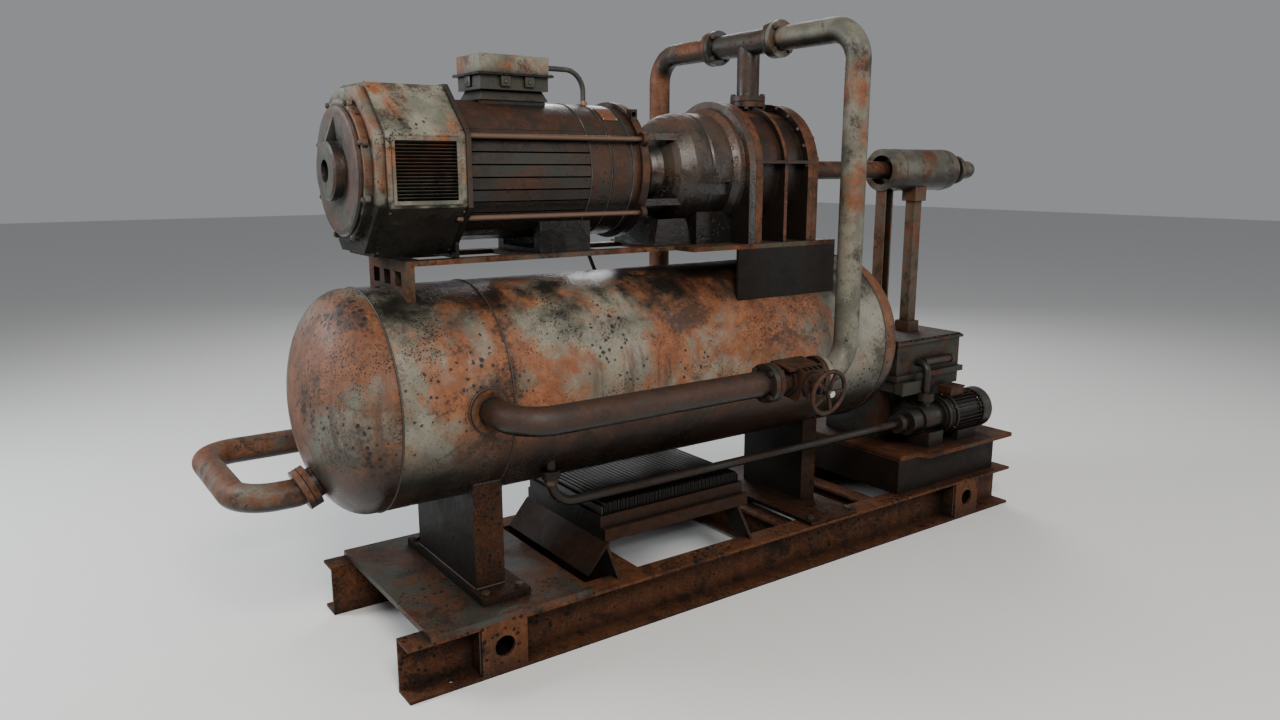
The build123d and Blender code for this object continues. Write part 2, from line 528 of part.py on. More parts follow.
def build_motor():
    frame = finned_x(FIN_X0, FIN_X1, MOTOR_FIN_ROOT_R, MOTOR_BODY_R, MOTOR_FINS, MOTOR_FIN_T)
    frame += cyl_x(FIN_X0, FIN_X1, MOTOR_BODY_R) - box(FIN_X0 - 1, FIN_X1 + 1, -300, 300, 1200, SMOOTH_Z)
    frame += cyl_x(FIN_X1, BAND_X1, MOTOR_BODY_R)
    frame += cyl_x(BAND_X1 + 5, BAND_X2, MOTOR_BODY_R)
    frame += cyl_x(BAND_X1, BAND_X1 + 5, MOTOR_BODY_R - 6)
    frame += octagon_x(FIN_X0 - 16, FIN_X0, COWL_FLAT + 5)
    frame += box(JUNCTION_X0 + 10, JUNCTION_X1 - 10, -74, 74, AXIS_Z + 185, AXIS_Z + MOTOR_BODY_R)
    frame -= cyl_x(FIN_X0 - 17, BAND_X2 + 1, MOTOR_BORE_R)
    for y, dz in ROD_PLACES:
        frame -= cyl_x(FIN_X0 - 17, FIN_X0 + 1, ROD_HOLE_R, y, AXIS_Z + dz)
    for x0, x1 in ((-885, -690), (FIN_X0 - 14, FIN_X0 - 2)):
        foot = box(x0, x1, -150, 150, FRAME_TOP, AXIS_Z - 120) - cyl_x(x0 - 1, x1 + 1, MOTOR_FIN_ROOT_R)
        if x1 - x0 > 50:
            foot -= box(x0 - 1, x1 + 1, -110, 110, FRAME_TOP + 14, AXIS_Z)
        frame += foot
    save("motor_frame", frame)

    shield = cyl_x(BAND_X2, BAND_X2 + 30, MOTOR_BODY_R)
    shield += cyl_x(BAND_X2 + 30, MOTOR_X1, MOTOR_BODY_R + 14)
    shield -= cyl_x(BAND_X2 + 14, MOTOR_X1 - 14, 150)
    shield -= cyl_x(BAND_X2 - 1, BAND_X2 + 15, 52)
    shield -= cyl_x(MOTOR_X1 - 15, MOTOR_X1 + 1, SHAFT_R + 2)
    for y, dz in ROD_PLACES:
        shield += cyl_x(BAND_X2 + 30, BAND_X2 + 50, 22, y, AXIS_Z + dz)
        shield -= cyl_x(BAND_X2, MOTOR_X1 + 1, ROD_HOLE_R, y, AXIS_Z + dz)
    for y in (-150, 150):
        lug = box(BAND_X2 + 32, MOTOR_X1 - 4, y - 14, y + 14, AXIS_Z + 150, AXIS_Z + 205)
        shield += lug - cyl_y(y - 15, y + 15, 9, (BAND_X2 + MOTOR_X1) / 2 + 12, AXIS_Z + 188)
    bracket = ring_x(FIN_X0 - 12, FIN_X0 + 2, MOTOR_BORE_R, 52)
    for i in range(6):
        a = math.radians(60 * i + 30)
        bracket -= cyl_x(FIN_X0 - 13, FIN_X0 + 3, 34, 118 * math.cos(a), AXIS_Z + 118 * math.sin(a))
    save("motor_end_shields", shield, bracket)

    cowl = octagon_x(COWL_X0, COWL_X1, COWL_FLAT)
    cowl -= octagon_x(COWL_X0 + 8, COWL_X1 - 10, COWL_FLAT - 6)
    cowl += octagon_x(COWL_X0 - 26, COWL_X0 + 1, COWL_FLAT - 12)
    cowl -= cyl_x(COWL_X0 - 18, COWL_X0 + 9, 228) + cyl_x(COWL_X1 - 20, COWL_X1 + 1, 215)
    cowl -= cyl_x(COWL_X0 - 27, COWL_X0, 150)
    for y, dz in ROD_PLACES:
        cowl -= cyl_x(COWL_X1 - 24, COWL_X1 + 1, 13, y, AXIS_Z + dz)
    for side in (-1, 1):
        cut = (side * (COWL_FLAT - 20), side * (COWL_FLAT + 5))
        cowl -= box(-1406, -1214, min(cut), max(cut), AXIS_Z + LOUVRE_LOW - 2, AXIS_Z + LOUVRE_HIGH + 2)

    grilles = []
    for side in (-1, 1):
        face = side * COWL_FLAT
        back, front = face - side * 14, face + side * 3
        low, high = AXIS_Z + LOUVRE_LOW, AXIS_Z + LOUVRE_HIGH
        frame_box = box(-1414, -1204, min(face, front), max(face, front), low - 12, high + 12)
        frame_box -= box(-1404, -1216, -400, 400, low, high)
        for i in range(LOUVRE_SLATS):
            z = low + (i + 0.5) * (high - low) / LOUVRE_SLATS
            slat = Pos(-1310, (front + back) / 2, z) * Rot(side * 35, 0, 0) * Box(190, 14, 2.5)
            frame_box += slat
        post = box(-1313, -1307, min(back, back + side * 4), max(back, back + side * 4), low + 3, high - 3)
        grilles.append(frame_box + post)
    save("louvre_grilles", grilles)

    ring = cyl_x(-1478, COWL_X0 - 26, 208) - cyl_x(-1479, COWL_X0 - 25, 150)
    for i in range(8):
        a = math.radians(22.5 + 45 * i)
        ring += cyl_x(-1478, -1462, 15, 205 * math.cos(a), AXIS_Z + 205 * math.sin(a))
    save("motor_cowl", cowl + ring)
    cover = turned_x([(-1492, 178), (-1490, 190), (-1484, 195), (-1478, 195)])
    cover += turned_x([(-1526, 80), (-1520, 88), (-1480, 88)])
    gusset = Polyline((-1486, 60), (-1522, 80), (-1488, 172), (-1486, 172), close=True)
    cover += Pos(0, 0, AXIS_Z) * extrude(Plane.XZ * make_face(gusset), 5, both=True)
    cover -= cyl_x(-1530, -1474, 34)
    cover -= cyl_x(-1500, -1474, 60)
    save("end_cover", cover)

    rods = []
    for y, dz in ROD_PLACES:
        rods.append(cyl_x(FIN_X0 - 34, MOTOR_X1 - 8, ROD_R, y, AXIS_Z + dz))
        nut = Pos(FIN_X0 - 28, y, AXIS_Z + dz) * Rot(0, 90, 0) * hexagon_bar(12, 20)
        dome = Pos(FIN_X0 - 28, y, AXIS_Z + dz) * Sphere(9.5)
        rods[-1] += nut + dome
    save("tie_rods", rods)

    x0, x1, y = JUNCTION_X0, JUNCTION_X1, JUNCTION_Y
    bottom = AXIS_Z + MOTOR_BODY_R
    wide = Plane.XY * Rectangle(x1 - x0 - 4, 2 * y - 6)
    narrow = Plane.XY.offset(JUNCTION_BASE + 1) * Rectangle(x1 - x0 - 36, 2 * y - 38)
    split = bottom + JUNCTION_SPLIT
    low = Pos((x0 + x1) / 2, 0, bottom) * loft([wide, narrow])
    low += box(x0 + 2, x1 - 2, -y + 2, y - 2, bottom + JUNCTION_BASE, split)
    low -= box(x0 + 8, x1 - 8, -y + 8, y - 8, bottom + JUNCTION_BASE + 6, split + 1)
    save("junction_box", low)
    lid = box(x0 - 12, x1 + 12, -y - 12, y + 12, split, split + 7)
    lid += box(x0, x1, -y, y, split + 7, AXIS_Z + 362)
    lid -= box(x0 + 5, x1 - 5, -y + 5, y - 5, split - 1, AXIS_Z + 357)
    save("junction_box_lid", lid)
    z = AXIS_Z + 338
    upper = cyl_x(x1, x1 + 14, 15, 0, z) + Pos(x1 + 14, 0, z) * Rot(0, 90, 0) * hexagon_bar(14, 30)
    lower = cyl_z(AXIS_Z + MOTOR_BODY_R - 2, AXIS_Z + MOTOR_BODY_R + 14, 14, LEAD_X)
    lower -= cyl_x(LEAD_X - 20, LEAD_X + 20, MOTOR_BODY_R)
    save("cable_glands", upper, lower)
    ends = ((x1 + 28, 0, z), (LEAD_X, 0, z), (LEAD_X, 0, AXIS_Z + MOTOR_BODY_R + 14))
    cable = FilletPolyline(*ends, radius=70)
    save("motor_lead", sweep(Plane(origin=cable @ 0, z_dir=cable % 0) * Circle(9), path=cable))

    stator = ring_x(-1110, -760, MOTOR_BORE_R, 122)
    for x0, x1 in ((-1150, -1110), (-760, -720)):
        stator += ring_x(x0, x1, 168, 128)
    save("motor_stator", stator)
    save("motor_rotor", ring_x(-1105, -765, 121, SHAFT_R), cyl_x(-1400, -432, SHAFT_R))
    fan = cyl_x(-1362, -1330, 50)
    for i in range(9):
        blade = Pos(-1346, 0, AXIS_Z) * Rot(40 * i, 0, 0) * Pos(0, 0, 115) * Rot(0, 0, 30) * Box(4, 34, 140)
        fan += blade
    fan -= cyl_x(-1380, -1310, SHAFT_R)
    save("cooling_fan", fan)


# ---------------------------------------------------------------- compressor
def arch_plate(x0, x1, half):
    """Flange with a round top and straight sides down to the base frame."""
    plate = cyl_x(x0, x1, half) + box(x0, x1, -half, half, FRAME_TOP, AXIS_Z)
    return plate


def rotor_section(lobes, pitch_r, lobe_r, body_r, turned):
    """Cross section of a rotor: lobes added to, or flutes cut from, a round body."""
    section = Circle(body_r)
    for i in range(lobes):
        angle = 2 * math.pi * i / lobes + turned
        where = Pos(pitch_r * math.cos(angle), pitch_r * math.sin(angle))
        section = section - where * Circle(lobe_r) if turned else section + where * Circle(lobe_r)
    return section


def twisted_rotor(section, twist, y):
    """Section drawn in (Y, Z), wound along +X."""
    plane = Plane(origin=(ROTOR_X0, y, AXIS_Z), x_dir=(0, 1, 0), z_dir=(1, 0, 0))
    face = (plane * section).faces()[0]
    return Solid.extrude_linear_with_rotation(
        face, (ROTOR_X0, y, AXIS_Z), (ROTOR_X1 - ROTOR_X0, 0, 0), twist)


def build_compressor():
    male_pitch = ROTOR_CENTRES * MALE_LOBES / (MALE_LOBES + FEMALE_FLUTES)
    female_pitch = ROTOR_CENTRES - male_pitch
    male_r = male_pitch + MALE_LOBE_R
    y2 = ROTOR_CENTRES

    bell = turned_x([(-398, 60), (-395, 78), (-386, 92), (-372, 102), (-356, 108), (-349, 114), (-342, 132),
                     (-331, 153), (-315, 173), (-294, 190), (-268, 202), (-238, 208), (-205, 210),
                     (-197, 206), (-189, 210), (-104, 210), (-84, 228), (-66, 232)])
    bell += arch_plate(-66, -34, ARCH_R)
    bell += box(-228, -66, -150, 150, FRAME_TOP, AXIS_Z - 150)
    outline = Polyline((-405, FRAME_TOP), (-388, 1392), (-262, 1392), (-232, FRAME_TOP), close=True)
    bell += extrude(Plane.XZ * make_face(outline), 130, both=True)
    for y, dz in ((-120, 118), (120, 118), (-128, -110), (128, -110)):
        bell += box(MOTOR_X1, -232, y - 16, y + 16, AXIS_Z + dz - 12, AXIS_Z + dz + 12)
    bell -= turned_x([(-330, 80), (-290, 130), (-240, 160), (-200, 178), (-66, 178)])
    bell -= cyl_x(-400, -300, SEAL_R)
    bell -= box(-262, -118, -230, -192, AXIS_Z - 106, AXIS_Z - 42)
    for y in (0, ROTOR_CENTRES):
        bell -= cyl_x(-67, -38, BEARING_R, y) + cyl_x(-39, -33, SHAFT_R + 3, y)
    save("bell_housing", bell)
    seal = ring_x(-396, -330, SEAL_R, SHAFT_R + RUNNING_GAP)
    save("shaft_seal", seal)

    casing = arch_plate(-33, 0, ARCH_R) + arch_plate(118, 134, ARCH_R - 8) + arch_plate(232, 258, ARCH_R)
    upper = cyl_x(-33, 258, BARREL_R)
    casing += upper - box(-40, 260, -300, 300, FRAME_TOP - 50, AXIS_Z + 25)
    casing += cyl_x(-33, 258, 216) - box(-40, 260, -300, 300, FRAME_TOP - 60, FRAME_TOP)
    casing += box(-33, 258, -ARCH_R, ARCH_R, AXIS_Z + 25, AXIS_Z + 37) - cyl_x(-34, 259, 200)
    casing += box(-33, 258, -110, 110, FRAME_TOP, AXIS_Z - 150)
    casing += cyl_z(AXIS_Z + 200, PORT_JOINT_Z - 1, PORT_NECK_R, PIPE_X)
    casing += flange((PIPE_X, 0, PORT_JOINT_Z - 1), "z", -FLANGE_T, 0)
    bores = cyl_x(ROTOR_X0 - 1, ROTOR_X1 + 1, male_r + 0.6)
    bores += cyl_x(ROTOR_X0 - 1, ROTOR_X1 + 1, FEMALE_TIP_R + 0.6, y2)
    bores += cyl_x(ROTOR_X0 - 1, ROTOR_X1 + 1, SLIDE_R + 0.5, SLIDE_Y, AXIS_Z + SLIDE_DZ)
    bores += cyl_z(AXIS_Z + 60, AXIS_Z + 300, PORT_BORE_R, PIPE_X)
    for y in (0, y2):
        bores += cyl_x(ROTOR_X1, 190, BEARING_R, y)
    bores += cyl_x(ROTOR_X1, 192, 9 + RUNNING_GAP, SLIDE_Y, AXIS_Z + SLIDE_DZ)
    bores += cyl_x(190, 259, 190) - box(189, 260, -300, 300, AXIS_Z + 60, AXIS_Z + 300)
    casing -= bores
    save("compressor_casing", casing)

    cover = arch_plate(259, 286, ARCH_R)
    cover -= cyl_x(258, 287, 14)
    for y in (-1, 1):
        cover += box(286, 300, y * 150 - 20, y * 150 + 20, FRAME_TOP, AXIS_Z + 100)
    tube = ring_x(286, CYL_X0 + 52, TUBE_R, TUBE_R - 7)
    tube += ring_x(286, 304, 70, TUBE_R - 7)
    for turn in (0, 90, 180, 270):
        gusset = Plane.XZ * make_face(Polyline((304, 0), (304, 68), (560, TUBE_R - 2), (560, 0), close=True))
        rib = Pos(0, 0, AXIS_Z) * Rot(turn, 0, 0) * extrude(gusset, 5, both=True)
        tube += rib
    tube -= cyl_x(286, CYL_X0 + 60, TUBE_R - 7)
    save("discharge_cover", cover + tube)

    male = twisted_rotor(rotor_section(MALE_LOBES, male_pitch, MALE_LOBE_R, MALE_ROOT_R, 0), ROTOR_TWIST, 0)
    save("male_rotor", Part() + male + cyl_x(-431, ROTOR_X0 + 1, SHAFT_R) + cyl_x(ROTOR_X1 - 1, 186, SHAFT_R))
    ratio = MALE_LOBES / FEMALE_FLUTES
    section = rotor_section(FEMALE_FLUTES, female_pitch, FEMALE_FLUTE_R, FEMALE_TIP_R, math.pi)
    female = twisted_rotor(section, -ROTOR_TWIST * ratio, y2)
    stubs = cyl_x(-64, ROTOR_X0 + 1, SHAFT_R, y2) + cyl_x(ROTOR_X1 - 1, 186, SHAFT_R, y2)
    save("female_rotor", Part() + female + stubs)
    bearings = []
    for y in (0, y2):
        for x0, x1 in ((-66, -40), (154, 188)):
            bearings.append(ring_x(x0, x1, BEARING_R, SHAFT_R + RUNNING_GAP, y))
    bearings.append(ring_x(BAND_X2, BAND_X2 + 14, 52, SHAFT_R + RUNNING_GAP))
    bearings.append(ring_x(FIN_X0 - 12, FIN_X0 + 2, 52, SHAFT_R + RUNNING_GAP))
    save("shaft_bearings", bearings)

    slide = cyl_x(ROTOR_X0 + 4, 78, SLIDE_R, SLIDE_Y, AXIS_Z + SLIDE_DZ)
    slide -= cyl_x(ROTOR_X0, 100, male_r + 1) + cyl_x(ROTOR_X0, 100, FEMALE_TIP_R + 1, y2)
    slide += cyl_x(77, 205, 9, SLIDE_Y, AXIS_Z + SLIDE_DZ)
    link = box(195, 207, -14, 14, AXIS_Z - 100, AXIS_Z + 16)
    link += box(195, 207, -14, 84, AXIS_Z - 100, AXIS_Z - 68)
    save("slide_valve", slide + link)
    rod = cyl_x(207, 1032, 12) + cyl_x(1032, 1066, CYL_R - 23 - 0.4)
    rod -= ring_x(1041, 1047, CYL_R, CYL_R - 27) + ring_x(1051, 1057, CYL_R, CYL_R - 27)
    save("capacity_piston", rod)

    cylinder = turned_x([(CYL_X0, CYL_R), (CYL_X1 - 38, CYL_R), (CYL_X1 - 22, 90), (CYL_X1 - 10, 83),
                         (CYL_X1 - 3, 75), (CYL_X1, 67)])
    cylinder -= cyl_x(CYL_X0 - 1, CYL_X0 + 52, 64)
    cylinder -= cyl_x(CYL_X0 + 40, CYL_X0 + 66, 12 + RUNNING_GAP)
    cylinder -= cyl_x(CYL_X0 + 64, CYL_X1 - 60, CYL_R - 23)
    cap = turned_x([(CYL_X1, 43), (1456, 43), (1456, 62), (1459, 66), (1475, 66), (1478, 62), (1479, 43),
                    (1560, 42), (1577, 38), (1588, 31), (1594, 20)])
    save("capacity_cylinder", cylinder, cap)
    bolts = []
    for i in range(9):
        a = math.radians(10 + 20 * i)
        y, z = 240 * math.cos(a), AXIS_Z + 240 * math.sin(a)
        bolts.append(Pos(286, y, z) * Rot(0, 90, 0) * hexagon_bar(10, 22))
    save("end_plate_bolts", bolts)


def build_coupling():
    motor_half = ring_x(-492, -450, 60, SHAFT_R) + ring_x(-450, -436, 86, SHAFT_R)
    drive_half = ring_x(-428, -414, 86, SHAFT_R) + ring_x(-414, -401, 60, SHAFT_R)
    save("coupling_hubs", motor_half, drive_half)
    save("coupling_insert", ring_x(-436, -428, 84, 40))


# ---------------------------------------------------------------- cylinder posts and oil tank
def build_tank():
    lower = box(TANK_X0, TANK_X1, -TANK_Y, TANK_Y, TANK_STEP_Z, 640)
    lower += box(TANK_X0, TANK_X1, -110, TANK_Y, PLATE_TOP, TANK_STEP_Z)
    lower -= box(TANK_X0 + 5, TANK_X1 - 5, -TANK_Y + 5, TANK_Y - 5, TANK_STEP_Z + 5, 641)
    lower -= box(TANK_X0 + 5, TANK_X1 - 5, -105, TANK_Y - 5, PLATE_TOP + 5, TANK_STEP_Z + 6)
    rim = box(TANK_X0 - 15, TANK_X1 + 15, -TANK_Y - 18, TANK_Y + 18, 640, 665)
    upper = box(TANK_X0, TANK_X1, -TANK_Y, TANK_Y, 665, 800)
    tank = lower + rim + upper - box(TANK_X0 + 5, TANK_X1 - 5, -TANK_Y + 5, TANK_Y - 5, 639, 801)
    tank -= cyl_y(-TANK_Y - 1, -TANK_Y + 6, OIL_PIPE_R - 4, OIL_RISER_X, OIL_TOP_Z)
    save("oil_tank", tank)
    lid = box(TANK_X0 - 12, TANK_X1 + 12, -TANK_Y - 12, TANK_Y + 12, 800, 812)
    lid += box(TANK_X0, TANK_X1, -TANK_Y, TANK_Y, 812, TANK_TOP)
    save("tank_lid", lid)
    posts = []
    for x, half, y in ((POST_1_X, 27, 0), (POST_2_X, 25, -17)):
        post = box(x - half, x + half, y - half, y + half, TANK_TOP, AXIS_Z - 60)
        if x == POST_1_X:
            post -= box(x - half + 8, x + half - 8, y - half - 1, y + half - 8, TANK_TOP - 1, AXIS_Z)
        else:
            post += box(x - 38, x + 38, y - 38, y + 38, TANK_TOP, TANK_TOP + 48)
            post += box(x - 38, x + 38, y - 38, y + 38, AXIS_Z - 139, AXIS_Z - 60)
        posts.append(post - cyl_x(CYL_X0 - 1, CYL_X1, CYL_R))
    save("cylinder_posts", posts)
    terminal = box(872, 990, -TANK_Y - 42, -TANK_Y, TANK_STEP_Z, 638)
    terminal += box(868, 994, -TANK_Y - 50, -TANK_Y - 42, TANK_STEP_Z - 3, 640)
    tube = cyl_x(1000, 1216, OIL_PIPE_R, -TANK_Y - 24, OIL_TOP_Z)
    tube += cyl_x(1216, 1232, OIL_PIPE_R + 4, -TANK_Y - 24, OIL_TOP_Z)
    tube += cyl_y(-TANK_Y - 24, -TANK_Y, 12, 1100, OIL_TOP_Z)
    tube -= cyl_y(-TANK_Y - 60, -TANK_Y - 1, OIL_PIPE_R + 1, OIL_RISER_X, OIL_TOP_Z)
    tube -= box(990, OIL_RISER_X + 20, -300, -TANK_Y, OIL_TOP_Z - 40, OIL_TOP_Z + 40)
    save("tank_fittings", terminal, tube)


# ---------------------------------------------------------------- oil pump
def build_pump_frame():
    frame = box(749, 1430, -350, -340, SKID_HEIGHT, PLATE_TOP - PLATE_T)
    frame += box(749, 1430, 340, 350, SKID_HEIGHT, PLATE_TOP - PLATE_T)
    frame += box(749, 759, -350, 350, SKID_HEIGHT, PLATE_TOP - PLATE_T)
    frame += box(1420, 1430, -350, 350, SKID_HEIGHT, PLATE_TOP - PLATE_T)
    edge = [(760, 350), (760, -350), (860, -350), (900, -SKID_HALF_WIDTH),
            (1500, -SKID_HALF_WIDTH), (1500, 350)]
    plate = extrude(make_face(Polyline(*edge, close=True)), PLATE_T)
    save("pump_frame", frame, Pos(0, 0, PLATE_TOP - PLATE_T) * plate)


def gear_outline(turned):
    """Closed outline of a spur gear with trapezoid teeth, about the origin."""
    points = []
    for i in range(GEAR_TEETH):
        centre = 2 * math.pi * (i + turned) / GEAR_TEETH
        for radius, half in ((GEAR_R - 6.0, -4.125), (GEAR_R, -3.3), (GEAR_R + 4.4, -1.3),
                             (GEAR_R + 4.4, 1.3), (GEAR_R, 3.3), (GEAR_R - 6.0, 4.125)):
            angle = centre + half / radius
            points.append((radius * math.cos(angle), radius * math.sin(angle)))
    return make_face(Polyline(*points, close=True))


def pump_gear(turned, y):
    plane = Plane(origin=(GEAR_X0, y, PUMP_Z), x_dir=(0, 1, 0), z_dir=(1, 0, 0))
    return extrude(plane * gear_outline(turned), GEAR_X1 - GEAR_X0)


def build_pump():
    y, z = PUMP_Y, PUMP_Z
    idler_y = y + 2 * GEAR_R
    middle = (y + idler_y) / 2
    body = cyl_x(960, 1080, 62, y, z) + cyl_x(960, 1080, 62, idler_y, z)
    body += box(960, 1080, y, idler_y, z - 62, z + 62)
    body += cyl_x(1080, 1092, 80, y, z)
    body += box(OIL_RISER_X - 24, OIL_RISER_X + 24, y - 24, idler_y, z + 20, z + 66)
    body += cyl_x(898, 960, 52, y, z) + cyl_x(850, 898, 30, y, z) + cyl_x(838, 850, 42, y, z)
    body += cyl_x(884, 898, 58, y, z)
    body += box(970, 1070, y - 70, y + 60, PLATE_TOP, z - 50)
    body += cyl_z(z + 40, z + 80, 26, OIL_RISER_X, y) + cyl_z(z + 80, z + 100, 38, OIL_RISER_X, y)
    for gear_y in (y, idler_y):
        body -= cyl_x(GEAR_X0 - 1, GEAR_X1 + 1, GEAR_R + 5.4, gear_y, z)
    body -= cyl_x(938, 1093, PUMP_SHAFT_R + RUNNING_GAP, y, z)
    body -= cyl_x(964, 1074, PUMP_SHAFT_R + RUNNING_GAP, idler_y, z)
    body -= cyl_x(837, 915, 14, y, z) + cyl_z(z - 36, z, 12, 903, y)
    body -= box(895, OIL_RISER_X, y - 4, middle + 8, z - 44, z - 26)
    body -= box(OIL_RISER_X - 12, OIL_RISER_X + 12, y, middle + 8, z + 24, z + 56)
    body -= cyl_z(z + 44, z + 101, 14, OIL_RISER_X, y)
    save("pump_casing", body)
    m0, m1 = PUMP_MOTOR_X0, PUMP_MOTOR_X1
    fan_x = m1 - 19
    shaft = cyl_x(942, fan_x + 12, PUMP_SHAFT_R, y, z) + pump_gear(0.0, y)
    shaft += cyl_x(m0 + 36, m1 - 83, 44, y, z)
    shaft += ring_x(1102, 1140, 34, PUMP_SHAFT_R - 1, y, z)
    fan = cyl_x(fan_x - 7, fan_x + 7, 24, y, z)
    for i in range(7):
        blade = Rot(360 / 7 * i, 0, 0) * Pos(0, 0, 46) * Rot(0, 0, 30) * Box(3, 14, 58)
        fan += Pos(fan_x, y, z) * blade
    save("pump_shaft", shaft + fan)
    idler = pump_gear(0.5, idler_y) + cyl_x(968, 1070, PUMP_SHAFT_R, idler_y, z)
    save("idler_gear", idler)

    lantern = ring_x(1092, m0, 86, 70, y, z) + ring_x(1092, 1100, 90, 70, y, z)
    lantern += ring_x(1118, 1124, 89, 70, y, z) + ring_x(m0 - 10, m0, 95, 70, y, z)
    lantern -= box(1104, 1138, y - 34, y + 34, z + 40, z + 110)
    save("pump_lantern", lantern)
    root, tip = PUMP_FIN_ROOT_R, PUMP_MOTOR_R
    motor = finned_x(m0, m1 - 58, root, tip, 30, 4, y, z) + cyl_x(m0, m0 + 10, tip - 3, y, z)
    motor += ring_x(m1 - 62, m1 - 50, tip + 3, tip - 10, y, z)
    motor -= cyl_x(m0 + 18, m1 - 72, root - 10, y, z)
    motor -= cyl_x(m0 - 1, m1 - 50, PUMP_SHAFT_R + 0.1, y, z)
    motor += ring_x(m0 + 48, m1 - 98, root - 9, 46, y, z)
    feet = box(m0 + 25, m1 - 88, y - 72, y + 72, PLATE_TOP, z - 70)
    motor += feet - box(m0 + 24, m1 - 87, y - 44, y + 44, PLATE_TOP - 1, z)
    motor += box(m0 + 12, m0 + 88, y - 30, y + 30, z + 70, z + 88)
    cowl = ring_x(m1 - 50, m1, tip + 3, tip - 4, y, z)
    for radius in (30, 52, 70):
        cowl += ring_x(m1 - 4, m1, radius + 6, radius, y, z)
    reach = tip - 3
    cowl += box(m1 - 4, m1, y - reach, y + reach, z - 4, z + 4)
    cowl += box(m1 - 4, m1, y - 4, y + 4, z - reach, z + reach)
    terminal = box(m0 + 5, m0 + 98, y - 36, y + 36, z + 88, z + 122)
    terminal -= box(m0 + 9, m0 + 94, y - 32, y + 32, z + 92, z + 118)
    terminal += box(m0 + 2, m0 + 101, y - 39, y + 39, z + 122, z + 128)
    save("pump_motor", motor, cowl, terminal)

    suction = [(OIL_NOZZLE_X, y, 575), (OIL_NOZZLE_X, y, z), (838, y, z)]
    line = pipe(suction, OIL_PIPE_R, OIL_PIPE_R - 3, 90)
    line += ring_x(824, 838, 42, OIL_PIPE_R - 3, y, z)
    line += cyl_z(562, 576, 32, OIL_NOZZLE_X, y) - cyl_z(560, 578, OIL_PIPE_R - 3, OIL_NOZZLE_X, y)
    neck = cyl_z(576, 640, OIL_PIPE_R, OIL_NOZZLE_X, y) + cyl_z(576, 590, 32, OIL_NOZZLE_X, y)
    neck -= cyl_z(570, 700, OIL_PIPE_R - 3, OIL_NOZZLE_X, y) + VESSEL_BODY
    top = (OIL_RISER_X, y, OIL_TOP_Z)
    riser = pipe([(OIL_RISER_X, y, z + 100), top, (OIL_RISER_X, -TANK_Y, OIL_TOP_Z)],
                 OIL_PIPE_R, OIL_PIPE_R - 3, 38)
    riser += cyl_z(z + 100, z + 116, 38, OIL_RISER_X, y) - cyl_z(z, z + 120, OIL_PIPE_R - 3, OIL_RISER_X, y)
    save("oil_pipes", line, neck, riser)


# ---------------------------------------------------------------- cooler under the vessel
def build_cooler():
    frames = []
    for x in (-721, -108):
        outline = [(-355, SKID_HEIGHT), (355, SKID_HEIGHT), (272, 290), (-272, 290)]
        inside = [(-250, SKID_HEIGHT - 1), (250, SKID_HEIGHT - 1), (190, 262), (-190, 262)]
        arch = make_face(Polyline(*outline, close=True)) - make_face(Polyline(*inside, close=True))
        leg = Plane.YZ * arch
        frames.append(Pos(x, 0, 0) * extrude(leg, 12))
    slope = [(-805, 190), (-795, 190), (-709, 290), (-722, 290)]
    frames.append(extrude(Plane.XZ * make_face(Polyline(*slope, close=True)), 290, both=True))
    rails = []
    for side in (-1, 1):
        rails.append(box(-722, -60, side * 268 - 10, side * 268 + 10, 290, 335))
    for x in (-722, -400, -72):
        rails.append(box(x, x + 12, -258, 258, 290, 335))
    frame = frames[0] + frames[1] + frames[2]
    for rail in rails:
        frame += rail
    tray = box(COOLER_X0, COOLER_X1, -COOLER_Y, COOLER_Y, 335, 378)
    tray -= box(COOLER_X0 + 5, COOLER_X1 - 5, -COOLER_Y + 5, COOLER_Y - 5, 340, 379)
    save("cooler_frame", frame, tray)
    core = box(COOLER_X0 + 12, COOLER_X1 - 12, -COOLER_Y + 10, COOLER_Y - 10, 340, 392)
    count = 30
    for i in range(count):
        x = COOLER_X0 + 24 + i * (COOLER_X1 - COOLER_X0 - 48) / (count - 1)
        core += box(x - 2, x + 2, -COOLER_Y + 16, COOLER_Y - 16, 391, 420)
    save("cooler_core", core)


def main():
    os.makedirs("parts", exist_ok=True)
    build_skid()
    build_vessel()
    build_pipes()
    build_valve()
    build_cooler()
    build_upper_frame()
    build_motor()
    build_compressor()
    build_coupling()
    build_tank()
    build_pump_frame()
    build_pump()


main()
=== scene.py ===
"""Looks of the rusted refrigeration screw compressor set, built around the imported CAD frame.

Every length is in metres in the frame of the CAD: +X along the skid from the motor end, +Y away from the
handwheel side, +Z up.
"""

import math

